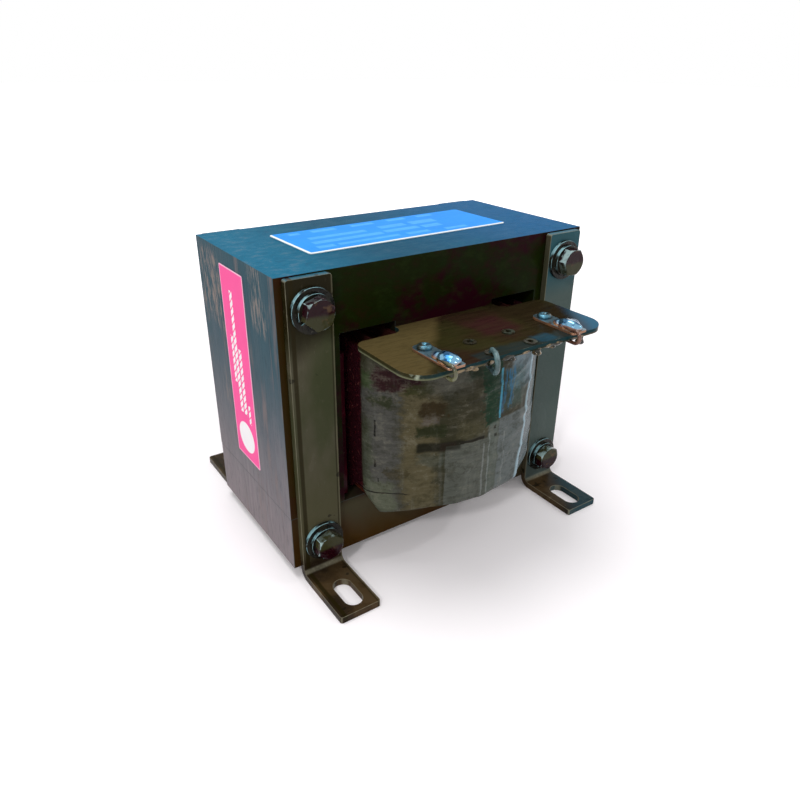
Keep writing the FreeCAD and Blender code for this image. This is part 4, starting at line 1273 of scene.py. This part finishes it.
DROPS = [(-1, -21.0, 1.6, 2.4), (-1, -3.5, 2.0, 2.6), (-1, 9.5, 2.6, 3.0), (-1, 17.5, 1.5, 2.2),
         (-1, 33.0, 3.4, 3.0), (1, -24.0, 2.0, 2.6), (1, 4.0, 1.8, 2.4), (1, 21.0, 2.4, 2.8)]
parts = [edge_bead(-1, 3.1), edge_bead(1, 8.4)]
parts += [drop(x, facing * (BOARD_REACH / MM - 1.2), board_low[2], length, width)
          for facing, x, length, width in DROPS]
runs = joined("varnish_runs", parts, amber_varnish())
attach(runs, "root")
print("varnish runs", len(DROPS), "drops")

# %% [markdown]
# ## Nameplate and side label
#
# The nameplate is a blue foil with a pale rim and rows of lighter fields, and the
# side label a pink film with rows of plain bars and a white oval. All of it is
# painted by steps on the coordinates, so the edges stay crisp at any size.


# %% Foil and film
PLATE_TURN, PLATE_BACK, LABEL_BACK, LABEL_HEIGHT = math.radians(1.2), 0.002, 0.0016, 0.0824
PLATE_FIELDS = [(-44, -39, 12, 15), (-33, -21, 12, 15.4), (-13, -1, 12.4, 15.4), (7, 17, 13, 16),
                (24, 33, 13, 16), (-40, -12, 1.5, 5), (-4, 10, 2.5, 7), (13, 27, 2, 7.5),
                (-42, -8, -6, -2.2), (-6, 12, -5, -1), (14, 24, -6, -1.5), (-44, -36, -13, -9.5),
                (-34, -4, -12.4, -9.6), (0, 12, -13, -9.6), (20, 32, -14, -11)]
LABEL_ROWS = [(4.2, 6.6, -7, 14), (0.6, 3.4, -20, 34), (-3.4, -0.6, -20, 10),
              (-7.2, -5.2, -23, -14)]


def nameplate_finish():
    graph = Graph("blue_foil")
    cos, sin = math.cos(PLATE_TURN), math.sin(PLATE_TURN)
    u = (graph.x * cos + (graph.y - PLATE_BACK) * sin) / MM
    v = ((graph.y - PLATE_BACK) * cos - graph.x * sin) / MM
    field = graph.box(u, v, (-49.9, 52, -16.8, 19), 0.12)
    pale = graph.boxes(u, v, PLATE_FIELDS, 0.35)
    wear = graph.noise(420, detail=4.0)
    cloud = graph.noise((30, 60, 30), shift=3.0)
    tone = graph.layers(
        (20, 128, 232),
        (cloud, (44, 156, 246)),
        (pale * (0.1 + wear * 0.7), (104, 190, 246)))
    tone = graph.mix(field, (238, 242, 244), tone)
    return graph.finish(tone, 0.34 + wear * 0.1, wear, 0.02, 0.02)


def label_finish():
    graph = Graph("pink_film")
    u = (graph.y - LABEL_BACK) / MM
    v = (graph.z - LABEL_HEIGHT) / MM
    field = graph.box(u, v, (-11.2, 11.2, -42.7, 42.7), 0.1)
    dashes = graph.step(graph.math("PINGPONG", v + u * 0.95, 1.6), 0.34, 0.5)
    rows = graph.boxes(u, v, LABEL_ROWS, 0.12)
    oval = 1 - graph.step(u * u / 64 + (v + 32) * (v + 32) / 52, 0.94, 1.06)
    wear = graph.noise(500, detail=4.0)
    tone = graph.layers(
        (246, 78, 148),
        (graph.noise((30, 60, 20)), (250, 100, 166)),
        (graph.larger(rows * dashes, oval), (244, 240, 242)))
    tone = graph.mix(field, (250, 190, 214), tone)
    return graph.finish(tone, 0.36 + wear * 0.1, wear, 0.02, 0.02)


dress("nameplate", nameplate_finish(), width=0.1)
dress("side_label", label_finish(), width=0.05)
print("plates done, nodes left:", sorted(waiting))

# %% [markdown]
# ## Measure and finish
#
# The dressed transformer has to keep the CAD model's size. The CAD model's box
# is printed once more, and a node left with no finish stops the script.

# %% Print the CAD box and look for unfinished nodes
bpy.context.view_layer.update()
print("CAD box   ", [[round(value * 1000, 1) for value in corner] for corner in cad_box])
if waiting:
    raise RuntimeError(f"nodes with no finish: {sorted(waiting)}")
